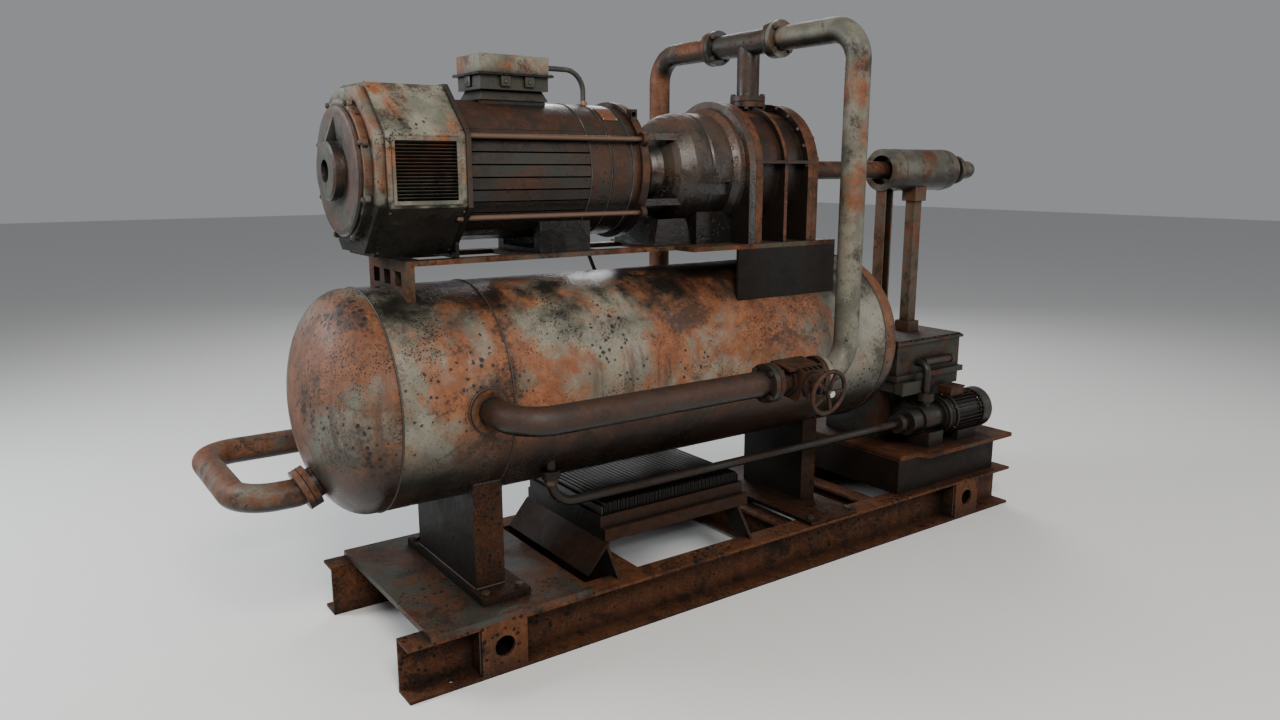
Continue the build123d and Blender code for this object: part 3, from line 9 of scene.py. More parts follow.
import bmesh
import bpy
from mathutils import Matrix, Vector


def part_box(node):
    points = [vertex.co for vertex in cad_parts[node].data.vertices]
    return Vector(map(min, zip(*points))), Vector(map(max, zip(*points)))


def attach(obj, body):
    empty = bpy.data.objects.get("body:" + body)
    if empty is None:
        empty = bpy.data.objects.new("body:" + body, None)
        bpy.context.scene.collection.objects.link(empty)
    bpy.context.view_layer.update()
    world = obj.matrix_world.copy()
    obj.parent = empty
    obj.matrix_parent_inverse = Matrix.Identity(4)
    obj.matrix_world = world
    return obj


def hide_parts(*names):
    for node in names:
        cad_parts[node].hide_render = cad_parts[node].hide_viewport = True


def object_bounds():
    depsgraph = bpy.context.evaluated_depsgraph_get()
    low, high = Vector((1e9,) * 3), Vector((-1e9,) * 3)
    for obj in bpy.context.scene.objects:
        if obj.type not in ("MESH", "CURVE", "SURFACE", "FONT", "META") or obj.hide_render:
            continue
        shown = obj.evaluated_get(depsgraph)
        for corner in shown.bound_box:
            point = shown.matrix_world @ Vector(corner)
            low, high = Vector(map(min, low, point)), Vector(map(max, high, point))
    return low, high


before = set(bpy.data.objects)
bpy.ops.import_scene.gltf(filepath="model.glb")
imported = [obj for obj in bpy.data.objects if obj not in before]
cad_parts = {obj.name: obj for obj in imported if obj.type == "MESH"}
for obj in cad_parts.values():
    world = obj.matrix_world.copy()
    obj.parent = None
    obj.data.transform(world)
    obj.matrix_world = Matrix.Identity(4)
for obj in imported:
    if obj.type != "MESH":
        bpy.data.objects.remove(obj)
cad_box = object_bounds()

# ---------------------------------------------------------------- camera, floor and light
CAMERA_PLACE = (-2.405, -2.856, 1.573)
CAMERA_YAW = math.radians(35.4)
CAMERA_PITCH = math.radians(11.6)
CAMERA_LENS = 26.3
SENSOR_WIDTH = 36.0
FLOOR_REACH = 30.0
FLOOR_COLOUR = (0.62, 0.62, 0.61, 1)
SKY_COLOUR = (0.82, 0.84, 0.88, 1)
SKY_STRENGTH = 0.34
LIGHT_AIM = (0.0, 0.0, 1.0)
# name, place, disk size, power, colour
LIGHTS = (
    ("key", (-2.6, -4.4, 4.4), 2.4, 460, (1.0, 0.95, 0.88)),
    ("fill", (3.6, -3.6, 2.4), 3.0, 70, (1, 1, 1)),
    ("rim", (-4.6, 2.4, 3.0), 2.2, 260, (0.92, 0.96, 1.0)),
    ("back", (3.2, 4.2, 3.8), 3.0, 170, (1, 1, 1)),
)


def make_camera():
    data = bpy.data.cameras.new("camera")
    data.lens = CAMERA_LENS
    data.sensor_width = SENSOR_WIDTH
    data.clip_end = 100.0
    camera = bpy.data.objects.new("camera", data)
    bpy.context.scene.collection.objects.link(camera)
    level = math.cos(CAMERA_PITCH)
    aim = Vector((math.sin(CAMERA_YAW) * level, math.cos(CAMERA_YAW) * level, -math.sin(CAMERA_PITCH)))
    camera.location = CAMERA_PLACE
    camera.rotation_euler = aim.to_track_quat("-Z", "Y").to_euler()
    bpy.context.scene.camera = camera


def make_floor():
    mesh = bpy.data.meshes.new("floor")
    corners = [(x * FLOOR_REACH, y * FLOOR_REACH, 0) for x, y in ((-1, -1), (1, -1), (1, 1), (-1, 1))]
    mesh.from_pydata(corners, [], [(0, 1, 2, 3)])
    floor = bpy.data.objects.new("floor", mesh)
    bpy.context.scene.collection.objects.link(floor)
    material = bpy.data.materials.new("floor")
    material.use_nodes = True
    shader = material.node_tree.nodes["Principled BSDF"]
    shader.inputs["Base Color"].default_value = FLOOR_COLOUR
    shader.inputs["Roughness"].default_value = 0.85
    mesh.materials.append(material)


def area_light(name, place, size, power, colour):
    data = bpy.data.lights.new(name, "AREA")
    data.shape = "DISK"
    data.size = size
    data.energy = power
    data.color = colour
    light = bpy.data.objects.new(name, data)
    bpy.context.scene.collection.objects.link(light)
    light.location = place
    light.rotation_euler = (Vector(LIGHT_AIM) - Vector(place)).to_track_quat("-Z", "Y").to_euler()


def make_light():
    world = bpy.data.worlds.new("studio")
    world.use_nodes = True
    background = world.node_tree.nodes["Background"]
    background.inputs["Color"].default_value = SKY_COLOUR
    background.inputs["Strength"].default_value = SKY_STRENGTH
    bpy.context.scene.world = world
    for light in LIGHTS:
        area_light(*light)


# ---------------------------------------------------------------- material building blocks
SHADER_SAMPLES = 3


class Tree:
    """Small helper around a material's node tree; every method returns an output socket."""

    def __init__(self, name):
        self.material = bpy.data.materials.new(name)
        self.material.use_nodes = True
        self.nodes = self.material.node_tree.nodes
        self.links = self.material.node_tree.links
        self.shader = self.nodes["Principled BSDF"]
        self.place = self.nodes.new("ShaderNodeTexCoord").outputs["Object"]

    def put(self, value, socket):
        if isinstance(value, bpy.types.NodeSocket):
            self.links.new(value, socket)
        elif isinstance(value, tuple) and len(value) == 3 and socket.type == "RGBA":
            socket.default_value = (*value, 1.0)
        else:
            socket.default_value = value

    def stretched(self, scale):
        node = self.nodes.new("ShaderNodeMapping")
        node.inputs["Scale"].default_value = scale
        self.links.new(self.place, node.inputs["Vector"])
        return node.outputs["Vector"]

    def noise(self, scale, detail=6.0, rough=0.6, warp=0.0, at=None):
        node = self.nodes.new("ShaderNodeTexNoise")
        node.inputs["Scale"].default_value = scale
        node.inputs["Detail"].default_value = detail
        node.inputs["Roughness"].default_value = rough
        node.inputs["Distortion"].default_value = warp
        self.links.new(at or self.place, node.inputs["Vector"])
        return node.outputs["Fac"]

    def cells(self, scale):
        """Distance to the middle of the nearest of many scattered cells."""
        node = self.nodes.new("ShaderNodeTexVoronoi")
        node.feature = "F1"
        node.inputs["Scale"].default_value = scale
        self.links.new(self.place, node.inputs["Vector"])
        return node.outputs["Distance"]

    def step(self, value, low, high):
        """0 below low, 1 above high, smooth between; low above high turns it round."""
        node = self.nodes.new("ShaderNodeMapRange")
        node.interpolation_type = "SMOOTHSTEP"
        flip = low > high
        node.inputs["From Min"].default_value = min(low, high)
        node.inputs["From Max"].default_value = max(low, high)
        node.inputs["To Min"].default_value = 1.0 if flip else 0.0
        node.inputs["To Max"].default_value = 0.0 if flip else 1.0
        self.links.new(value, node.inputs["Value"])
        return node.outputs["Result"]

    def math(self, operation, a, b=0.0):
        node = self.nodes.new("ShaderNodeMath")
        node.operation = operation
        self.put(a, node.inputs[0])
        self.put(b, node.inputs[1])
        return node.outputs[0]

    def times(self, a, b):
        return self.math("MULTIPLY", a, b)

    def plus(self, a, b):
        return self.math("ADD", a, b)

    def mix(self, amount, a, b):
        node = self.nodes.new("ShaderNodeMix")
        node.data_type = "RGBA"
        self.put(amount, node.inputs["Factor"])
        self.put(a, node.inputs[6])
        self.put(b, node.inputs[7])
        return node.outputs[2]

    def facing(self, axis):
        """Component of the surface normal along an axis, 0 for X, 1 for Y and 2 for Z."""
        geometry = self.nodes.new("ShaderNodeNewGeometry")
        split = self.nodes.new("ShaderNodeSeparateXYZ")
        self.links.new(geometry.outputs["Normal"], split.inputs[0])
        return split.outputs[axis]

    def along(self, axis):
        """Place along an axis, 0 for X, 1 for Y and 2 for Z."""
        split = self.nodes.new("ShaderNodeSeparateXYZ")
        self.links.new(self.place, split.inputs[0])
        return split.outputs[axis]

    def between(self, axis, low, high):
        """1 where the place along an axis lies between low and high, else 0."""
        above = self.math("GREATER_THAN", self.along(axis), low)
        return self.times(above, self.math("LESS_THAN", self.along(axis), high))

    def crevice(self, reach):
        """1 in the open and less in corners, looked at over a reach."""
        node = self.nodes.new("ShaderNodeAmbientOcclusion")
        node.samples = SHADER_SAMPLES
        node.inputs["Distance"].default_value = reach
        return node.outputs["AO"]

    def bump(self, height, strength, distance, rounding=0.0):
        node = self.nodes.new("ShaderNodeBump")
        node.inputs["Strength"].default_value = strength
        node.inputs["Distance"].default_value = distance
        self.links.new(height, node.inputs["Height"])
        if rounding:
            bevel = self.nodes.new("ShaderNodeBevel")
            bevel.samples = SHADER_SAMPLES
            bevel.inputs["Radius"].default_value = rounding
            self.links.new(bevel.outputs["Normal"], node.inputs["Normal"])
        self.links.new(node.outputs["Normal"], self.shader.inputs["Normal"])


RUST_LIGHT = (0.290, 0.118, 0.052)
RUST_ORANGE = (0.205, 0.073, 0.030)
RUST_BROWN = (0.082, 0.038, 0.022)
RUST_DARK = (0.030, 0.018, 0.013)
# near black for soot and pits, also used to paint shade
SOOT_AND_SHADE = (0.0050, 0.0046, 0.0042)
PALE_PAINT = (0.245, 0.235, 0.185)
GREEN_GREY = (0.120, 0.124, 0.096)
DUST = (0.165, 0.112, 0.078)
LID_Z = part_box("junction_box_lid")[0].z
FINE_NOISE = 95.0
GRAIN_NOISE = 420.0
STAIN_NOISE = 150.0
PIT_CELLS = 38.0
SPECK_CELLS = 118.0
DRIP_STRETCH = (24.0, 24.0, 2.2)
COAT_BUMP = 0.0020
EDGE_ROUNDING = 0.002
# painted shade in the recessed bays of the casing, as (x0, x1, z0, z1, amount)
CASING_BAYS = (
    (0.002, 0.116, 1.30, 1.59, 1.1),
    (0.136, 0.230, 1.30, 1.59, 1.1),
    (0.002, 0.116, 1.59, 1.765, 0.72),
    (0.136, 0.230, 1.59, 1.765, 0.85),
)


def shaded(colour, amount):
    return tuple(c * amount for c in colour)


def weathered(name, paint, tint, paint_left, grime, gloss, pits, patch, streak=0.4, orange=0.4, reach=0.07,
              low_shade=None, dark_top=None, face_shade=(), paint_low=None, paint_bands=(), shade_from=None,
              shade_to=None, shade_boxes=()):
    """Old painted steel: soft rust stain over faded paint, dark scale, black pits, drips, grease and painted
    shade.

    tint darkens the whole coat, and patch is about how many paint patches there are in a metre.
    paint_left, grime, gloss, pits, streak and orange are 0 for none and about 1 for a lot.
    The low and the top heights are (start, full) heights between which painted shade thickens towards the
    bottom and the top gets darker in patches; paint_low is the same for paint.
    The face axes are those along which faces get painted shade; reach is how deep corners get painted shade.
    paint_bands are (x0, x1, amount) lengths that kept more paint.
    The shade start is (x0, x1), where the low painted shade sets in, and the shade end is where most of it
    ends.
    The boxes are (x0, x1, z0, z1, amount) zones darkened as painted shade.
    """
    t = Tree(name)
    pale, green = shaded(paint, tint), shaded(GREEN_GREY, tint)
    brown, bright = shaded(RUST_BROWN, tint), shaded(RUST_LIGHT, tint)
    broad = t.noise(patch, 9.0, 0.60, 0.25)
    middle = t.noise(patch * 4.3, 8.0, 0.66, 0.4)
    fine = t.noise(FINE_NOISE, 5.0, 0.7)
    grain = t.noise(GRAIN_NOISE, 3.0, 0.6)
    sway = t.plus(middle, -0.5)

    # faded paint, and rust of several shades
    coat = t.mix(t.step(t.noise(patch * 2.1, 6.0, 0.6), 0.40, 0.64), pale, green)
    stain = t.step(t.noise(STAIN_NOISE, 4.0, 0.75), 0.46, 0.72)
    coat = t.mix(t.times(stain, 0.5), coat, brown)
    tone = t.mix(t.step(t.noise(patch * 7.0, 7.0, 0.7, 0.5), 0.42, 0.66), shaded(RUST_ORANGE, tint), bright)
    shade = t.plus(t.times(middle, 0.7), t.times(fine, 0.3))
    rust = t.mix(t.step(shade, 0.40 + 0.16 * orange, 0.55 + 0.16 * orange), tone, brown)
    rust = t.mix(t.times(t.step(fine, 0.50, 0.66), 0.7), rust, brown)
    rust = t.mix(t.times(t.step(t.noise(37.0, 6.0, 0.7, 0.6), 0.56, 0.74), 0.4), rust, shaded(DUST, tint))

    # where the paint holds on
    blotch = t.plus(t.plus(t.times(broad, 0.58), t.times(middle, 0.28)), t.times(fine, 0.14))
    if paint_low:
        low = t.step(t.plus(t.along(2), t.times(sway, 0.35)), *paint_low)
        blotch = t.plus(blotch, t.times(low, 0.16))
    for x0, x1, amount in paint_bands:
        band = t.times(t.step(t.along(0), x0 - 0.03, x0 + 0.01), t.step(t.along(0), x1 + 0.01, x1 - 0.03))
        blotch = t.plus(blotch, t.times(band, amount))
    edge = 0.60 - 0.20 * paint_left
    coated = t.step(blotch, edge - 0.05, edge + 0.06)
    colour = t.mix(coated, rust, coat)

    # scale, drips and pits
    crust = t.plus(t.times(t.noise(patch * 1.6, 9.0, 0.68, 0.6), 0.75), t.times(fine, 0.25))
    scale = t.step(crust, 0.51, 0.61)
    colour = t.mix(t.times(scale, 0.8), colour, shaded(RUST_DARK, max(tint, 0.5)))
    drip = t.noise(1.0, 6.0, 0.62, 0.3, t.stretched(DRIP_STRETCH))
    streaks = t.times(t.step(drip, 0.50, 0.64), t.step(t.noise(2.9, 3.0, 0.5), 0.62 - 0.3 * streak, 0.78))
    colour = t.mix(t.times(streaks, 0.75), colour, RUST_DARK)
    size = t.times(t.step(t.noise(4.2, 4.0, 0.6), 0.64 - 0.25 * pits, 0.82), 0.42)
    wobble = t.plus(t.cells(PIT_CELLS), t.times(t.plus(fine, -0.5), 0.75))
    pit = t.step(t.math("SUBTRACT", wobble, size), 0.05, -0.05)
    small_size = t.times(t.step(t.noise(6.1, 4.0, 0.6), 0.58 - 0.2 * pits, 0.74), 0.40)
    speck = t.step(t.math("SUBTRACT", t.cells(SPECK_CELLS), small_size), 0.06, -0.06)
    holes = t.math("MAXIMUM", pit, speck)
    colour = t.mix(t.times(holes, 0.9), colour, SOOT_AND_SHADE)

    # grease smears, and painted shade on undersides, in corners, low down, on faces and in the zones asked
    # for
    smear = t.plus(t.times(t.noise(3.1, 8.0, 0.66, 0.5), 0.8), t.times(fine, 0.2))
    dirt_and_shade = t.times(t.step(smear, 0.74 - 0.36 * grime, 0.90 - 0.36 * grime), 0.85)
    # painted shade on faces that look down
    dirt_and_shade = t.math("MAXIMUM", dirt_and_shade, t.times(t.step(t.facing(2), -0.02, -0.62), 0.95))
    # painted shade in corners and recesses
    dirt_and_shade = t.math("MAXIMUM", dirt_and_shade, t.step(t.crevice(reach), 0.93, 0.42))
    wavy = t.plus(t.along(2), t.times(sway, 0.30))
    # painted shade towards the bottom, from a height and over an x range
    if low_shade:
        low = t.step(wavy, *low_shade)
        if shade_from:
            low = t.times(low, t.step(t.plus(t.along(0), t.times(sway, 0.4)), *shade_from))
        if shade_to:
            low = t.times(low, t.plus(0.35, t.times(t.step(t.along(0), *shade_to), 0.65)))
        dirt_and_shade = t.math("MAXIMUM", dirt_and_shade, low)
    # darker patches near the top
    if dark_top:
        high = t.times(t.step(wavy, *dark_top), t.step(t.noise(5.0, 7.0, 0.7), 0.30, 0.54))
        dirt_and_shade = t.math("MAXIMUM", dirt_and_shade, high)
    # painted shade on faces that face along the given axes
    for axis in face_shade:
        flat = t.step(t.math("ABSOLUTE", t.facing(axis)), 0.70, 0.92)
        dirt_and_shade = t.math("MAXIMUM", dirt_and_shade, t.times(flat, t.plus(0.82, t.times(middle, 0.30))))
    # painted shade in the given zones
    for x0, x1, z0, z1, amount in shade_boxes:
        inside = t.times(t.between(0, x0, x1), t.between(2, z0, z1))
        dirt_and_shade = t.math("MAXIMUM", dirt_and_shade, t.times(inside, t.plus(amount - 0.2, t.times(middle, 0.4))))
    dirt_and_shade = t.math("MINIMUM", dirt_and_shade, 1.0)
    # near black mixed in for the grease and for the painted shade
    t.links.new(t.mix(t.times(dirt_and_shade, 0.93), colour, SOOT_AND_SHADE), t.shader.inputs["Base Color"])

    # grease shines, rust does not
    dull = t.plus(t.times(coated, -0.20), 0.70)
    greasy = t.times(dirt_and_shade, -(0.12 + 0.22 * gloss))
    rough = t.plus(t.plus(dull, greasy), t.plus(-0.06 * gloss, t.times(sway, 0.45)))
    t.links.new(rough, t.shader.inputs["Roughness"])
    t.shader.inputs["Specular IOR Level"].default_value = 0.03 + 0.27 * gloss
    height = t.plus(t.times(fine, 0.40), t.times(grain, 0.12))
    height = t.plus(height, t.plus(t.times(coated, 0.25), t.times(holes, -0.55)))
    height = t.plus(height, t.plus(t.times(middle, 0.5), t.times(scale, -0.2)))
    t.bump(height, 0.8, COAT_BUMP, EDGE_ROUNDING)
    return t.material


def steel(name, colour, rough, grease=0.3, rust=0.3, metal=0.9, rounding=0.0015):
    """Bare or oily steel with rust freckles, smeared grease and painted shade in corners."""
    t = Tree(name)
    broad = t.noise(7.0, 7.0, 0.62, 0.3)
    fine = t.noise(140.0, 5.0, 0.7)
    freckle = t.step(t.plus(t.times(broad, 0.5), t.times(fine, 0.5)), 0.66 - 0.3 * rust, 0.76 - 0.22 * rust)
    base = t.mix(freckle, colour, shaded(RUST_BROWN, 0.7))
    base = t.mix(t.times(t.step(fine, 0.58, 0.70), freckle), base, shaded(RUST_ORANGE, 0.7))
    smear = t.step(t.noise(4.3, 6.0, 0.65, 0.8), 0.72 - 0.45 * grease, 0.88 - 0.35 * grease)
    # grease smears, and painted shade in corners
    dirt_and_shade = t.math("MAXIMUM", t.times(smear, 0.9), t.step(t.crevice(0.03), 0.85, 0.25))
    t.links.new(t.mix(t.times(dirt_and_shade, 0.85), base, SOOT_AND_SHADE), t.shader.inputs["Base Color"])
    t.links.new(t.times(t.plus(t.times(freckle, -1.0), 1.0), metal), t.shader.inputs["Metallic"])
    t.links.new(t.plus(t.plus(rough, t.times(freckle, 0.35)), t.times(t.plus(fine, -0.5), 0.2)),
                t.shader.inputs["Roughness"])
    t.bump(t.plus(t.times(fine, 0.5), t.times(freckle, 0.3)), 0.5, 0.001, rounding)
    return t.material


def soft_black(name, colour, rough):
    t = Tree(name)
    fine = t.noise(210.0, 4.0, 0.6)
    worn = t.noise(16.0, 6.0, 0.65)
    shade = t.mix(t.step(worn, 0.5, 0.7), colour, tuple(min(1.0, c * 2.2 + 0.02) for c in colour))
    t.links.new(shade, t.shader.inputs["Base Color"])
    t.links.new(t.plus(rough, t.times(t.plus(fine, -0.5), 0.2)), t.shader.inputs["Roughness"])
    t.bump(fine, 0.3, 0.0006)
    return t.material


# every name here is an argument of weathered(), steel() or soft_black()
# the low heights, face axes and boxes of these coats paint shade onto them
COATS = {
    "vessel": dict(name="vessel_paint", paint=PALE_PAINT, tint=0.68, paint_left=0.36, grime=0.1, gloss=0.9,
                   pits=1.05, patch=2.3, streak=1.0, orange=0.85, low_shade=(0.86, 0.64),
                   dark_top=(1.02, 1.19), shade_from=(-1.34, -1.0), shade_to=(0.3, -0.2),
                   paint_bands=((-1.46, -1.13, 0.05), (0.34, 0.7, 0.13))),
    "head": dict(name="head_paint", paint=PALE_PAINT, tint=0.48, paint_left=0.32, grime=0.12, gloss=1.0,
                 pits=1.35, patch=2.6, streak=1.0, orange=0.8, low_shade=(0.74, 0.5)),
    "skid": dict(name="skid_paint", paint=DUST, tint=0.35, paint_left=0.05, grime=0.5, gloss=0.3, pits=1.5,
                 patch=5.2, orange=0.95, streak=1.7, reach=0.12),
    "deck": dict(name="deck_paint", paint=GREEN_GREY, tint=0.27, paint_left=0.5, grime=0.55, gloss=0.9,
                 pits=1.2, patch=5.2, orange=0.8, reach=0.15),
    "pump_base": dict(name="pump_base_paint", paint=DUST, tint=0.3, paint_left=0.15, grime=0.42, gloss=0.3,
                      pits=0.8, patch=5.0, orange=0.7, reach=0.12,
                      shade_boxes=((0.7, 1.45, 0.17, 0.3285, 1.0),)),
    "pedestal": dict(name="pedestal_paint", paint=DUST, tint=0.14, paint_left=0.15, grime=0.44, gloss=0.3,
                     pits=1.8, patch=5.0, orange=0.9, reach=0.12, streak=0.8, face_shade=(0,)),
    "post": dict(name="post_paint", paint=DUST, tint=0.42, paint_left=0.55, grime=0.25, gloss=0.4, pits=0.4,
                 patch=5.0, orange=0.3),
    "frame": dict(name="upper_frame_paint", paint=GREEN_GREY, tint=0.36, paint_left=0.4, grime=0.5,
                  gloss=0.3, pits=0.5, patch=6.0, orange=0.4, reach=0.08,
                  shade_boxes=((-0.125, 0.392, 1.05, 1.28, 1.1),)),
    "riser": dict(name="riser_paint", paint=PALE_PAINT, tint=0.52, paint_left=0.66, grime=0.06, gloss=0.6,
                  pits=0.5, patch=3.3, orange=0.9, paint_low=(1.36, 1.02)),
    "main_pipe": dict(name="main_pipe_paint", paint=GREEN_GREY, tint=0.13, paint_left=0.38, grime=0.18,
                      gloss=1.3, pits=0.4, patch=4.4, orange=0.5, streak=0.2),
    "nozzle": dict(name="nozzle_paint", paint=PALE_PAINT, tint=0.4, paint_left=0.25, grime=0.2, gloss=0.6,
                   pits=0.4, patch=6.0, orange=0.8, reach=0.05),
    "return_pipe": dict(name="return_pipe_paint", paint=PALE_PAINT, tint=0.42, paint_left=0.26, grime=0.14,
                        gloss=0.8, pits=0.4, patch=4.0, orange=0.6, streak=0.6),
    "tee": dict(name="tee_paint", paint=GREEN_GREY, tint=0.2, paint_left=0.5, grime=0.36, gloss=0.9,
                pits=0.2, patch=6.0, orange=0.1),
    "valve": dict(name="valve_paint", paint=DUST, tint=0.2, paint_left=0.25, grime=0.34, gloss=0.7,
                  pits=0.3, patch=8.0, orange=0.3),
    "oily_pipe": dict(name="oily_pipe_paint", paint=GREEN_GREY, tint=0.11, paint_left=0.6, grime=0.48,
                      gloss=0.9, pits=0.1, patch=6.0, orange=0.1),
    "pump_motor": dict(name="pump_motor_paint", paint=GREEN_GREY, tint=0.18, paint_left=0.1, grime=0.1,
                       gloss=0.8, pits=0.2, patch=7.0, orange=0.4, reach=0.03,
                       paint_bands=((1.36, 1.45, 0.4),), shade_boxes=((1.1, 1.342, 0.3, 0.5525, 0.9),)),
    "motor": dict(name="motor_paint", paint=GREEN_GREY, tint=0.145, paint_left=0.5, grime=0.4, gloss=1.0,
                  pits=0.8, patch=4.8, orange=0.5, low_shade=(1.44, 1.36), streak=0.5,
                  paint_bands=((-0.56, -0.49, 0.2),)),
    "shield": dict(name="shield_paint", paint=DUST, tint=0.24, paint_left=0.3, grime=0.38, gloss=0.8,
                   pits=0.4, patch=5.0, orange=0.4, low_shade=(1.46, 1.38)),
    "cowl": dict(name="cowl_paint", paint=PALE_PAINT, tint=0.72, paint_left=0.9, grime=0.06, gloss=0.6,
                 pits=0.7, patch=3.4, orange=1.0, low_shade=(1.52, 1.44)),
    "cover": dict(name="cover_paint", paint=PALE_PAINT, tint=0.2, paint_left=0.62, grime=0.22, gloss=0.9,
                  pits=0.6, patch=5.6, orange=0.8),
    "louvre": dict(name="louvre_paint", paint=PALE_PAINT, tint=0.56, paint_left=0.85, grime=0.1, gloss=0.4,
                   pits=0.3, patch=3.4, orange=0.8, reach=0.02,
                   shade_boxes=((-1.4045, -1.2155, 1.4795, 1.6505, 0.75),)),
    "lid": dict(name="lid_paint", paint=PALE_PAINT, tint=0.62, paint_left=0.6, grime=0.06, gloss=0.5,
                pits=0.3, patch=4.2, orange=1.0,
                shade_boxes=((-1.2, -0.5, LID_Z - 0.001, LID_Z + 0.0085, 1.0),)),
    "plate": dict(name="name_plate_paint", paint=PALE_PAINT, tint=0.5, paint_left=0.2, grime=0.05,
                  gloss=0.5, pits=0.1, patch=5.0, orange=1.0),
    "box": dict(name="box_paint", paint=GREEN_GREY, tint=0.25, paint_left=0.75, grime=0.35, gloss=0.7,
                pits=0.2, patch=5.0, orange=0.3),
    "bell": dict(name="bell_paint", paint=DUST, tint=0.27, paint_left=0.45, grime=0.26, gloss=1.6, pits=1.1,
                 patch=3.6, orange=0.4, low_shade=(1.6, 1.49)),
    "casing": dict(name="casing_paint", paint=DUST, tint=0.34, paint_left=0.15, grime=0.28, gloss=0.6,
                   pits=0.5, patch=4.0, orange=0.5, reach=0.18, face_shade=(0,),
                   shade_boxes=CASING_BAYS),
    "cylinder": dict(name="cylinder_paint", paint=PALE_PAINT, tint=0.34, paint_left=0.85, grime=0.36,
                     gloss=0.7, pits=0.6, patch=4.4, orange=0.6),
    "tank": dict(name="tank_paint", paint=GREEN_GREY, tint=0.22, paint_left=0.6, grime=0.4, gloss=0.7,
                 pits=0.7, patch=5.5, orange=0.5, reach=0.12, streak=0.8),
    "cooler": dict(name="cooler_paint", paint=GREEN_GREY, tint=0.1, paint_left=0.2, grime=0.45, gloss=0.5,
                   pits=0.5, patch=5.0, orange=0.6, reach=0.1, face_shade=(0,)),
}
STEELS = {
    "bolt": dict(name="bolt_steel", colour=(0.09, 0.07, 0.056), rough=0.5, grease=0.2, rust=0.6),
    "rod": dict(name="rod_steel", colour=(0.14, 0.085, 0.06), rough=0.42, grease=0.1, rust=0.5, metal=0.7),
    "bright": dict(name="bright_steel", colour=(0.55, 0.54, 0.52), rough=0.28, grease=0.1, rust=0.12),
    "grimy": dict(name="grimy_steel", colour=(0.08, 0.07, 0.065), rough=0.42, grease=0.6, rust=0.4,
                  metal=0.7),
    "iron": dict(name="laminated_iron", colour=(0.3, 0.2, 0.14), rough=0.5, grease=0.2, rust=0.4),
    "fins": dict(name="blackened_fins", colour=(0.035, 0.034, 0.033), rough=0.38, grease=0.4, rust=0.15,
                 metal=0.5, rounding=0.0),
    "gland": dict(name="gland_brass", colour=(0.26, 0.15, 0.085), rough=0.45, grease=0.25, rust=0.5,
                  metal=0.7),
    "weld": dict(name="weld_metal", colour=(0.04, 0.032, 0.027), rough=0.55, grease=0.35, rust=0.4,
                 metal=0.4, rounding=0.0),
}
SOFT_BLACKS = {
    "rubber": dict(name="aged_rubber", colour=(0.016, 0.015, 0.014), rough=0.55),
    "gasket": dict(name="gasket_fibre", colour=(0.02, 0.019, 0.018), rough=0.8),
}


def make_materials():
    made = {key: weathered(**coat) for key, coat in COATS.items()}
    made.update({key: steel(**look) for key, look in STEELS.items()})
    made.update({key: soft_black(**look) for key, look in SOFT_BLACKS.items()})
    return made


NODE_MATERIAL = {
    "vessel": ("vessel_shell",),
    "head": ("vessel_heads",),
    "skid": ("skid_frame", "lifting_sockets"),
    "pump_base": ("pump_frame",),
    "deck": ("deck_plate",),
    "pedestal": ("pedestals",),
    "post": ("cylinder_posts",),
    "frame": ("upper_frame",),
    "riser": ("near_riser",),
    "main_pipe": ("main_pipe",),
    "nozzle": ("vessel_nozzles",),
    "return_pipe": ("return_pipe",),
    "tee": ("top_tee",),
    "valve": ("valve_body", "valve_bonnet", "handwheel"),
    "oily_pipe": ("oil_pipes", "pump_casing", "pump_lantern"),
    "pump_motor": ("pump_motor",),
    "motor": ("motor_frame",),
    "shield": ("motor_end_shields",),
    "cowl": ("motor_cowl",),
    "cover": ("end_cover",),
    "louvre": ("louvre_grilles",),
    "lid": ("junction_box_lid",),
    "box": ("junction_box",),
    "bell": ("bell_housing",),
    "casing": ("compressor_casing", "discharge_cover"),
    "cylinder": ("capacity_cylinder",),
    "tank": ("oil_tank", "tank_lid", "tank_fittings"),
    "cooler": ("cooler_frame",),
    "bolt": ("flange_bolts", "pedestal_bolts", "end_plate_bolts"),
    "gland": ("cable_glands",),
    "rod": ("tie_rods",),
    "bright": ("valve_disc", "valve_stem", "motor_rotor", "shaft_seal", "male_rotor", "female_rotor",
               "shaft_bearings", "slide_valve", "capacity_piston", "pump_shaft", "idler_gear",
               "separator_internals"),
    "grimy": ("coupling_hubs", "cooling_fan"),
    "iron": ("motor_stator",),
    "fins": ("cooler_core",),
    "rubber": ("motor_lead", "coupling_insert"),
    "gasket": ("pipe_gaskets",),
}


def paint_nodes(materials):
    for key, names in NODE_MATERIAL.items():
        for name in names:
            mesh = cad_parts[name].data
            mesh.materials.clear()
            mesh.materials.append(materials[key])


# ---------------------------------------------------------------- mesh building blocks
def frame_along(direction):
    """Two unit vectors square to a direction and to each other."""
    direction = Vector(direction).normalized()
    helper = Vector((0, 0, 1)) if abs(direction.z) < 0.9 else Vector((1, 0, 0))
    side = direction.cross(helper).normalized()
    return side, side.cross(direction)


def lathe(profile, steps, origin, direction, turn=0.0):
    """Surface of revolution; profile is a list of (distance along the direction, radius)."""
    direction = Vector(direction).normalized()
    side, other = frame_along(direction)
    verts, faces = [], []
    for along, radius in profile:
        for i in range(steps):
            angle = 2 * math.pi * i / steps + turn
            out = side * math.cos(angle) + other * math.sin(angle)
            verts.append(Vector(origin) + direction * along + out * radius)
    for row in range(len(profile) - 1):
        for i in range(steps):
            j = (i + 1) % steps
            faces.append((row * steps + i, row * steps + j, (row + 1) * steps + j, (row + 1) * steps + i))
    faces.append(tuple(reversed(range(steps))))
    faces.append(tuple(range((len(profile) - 1) * steps, len(profile) * steps)))
    return verts, faces


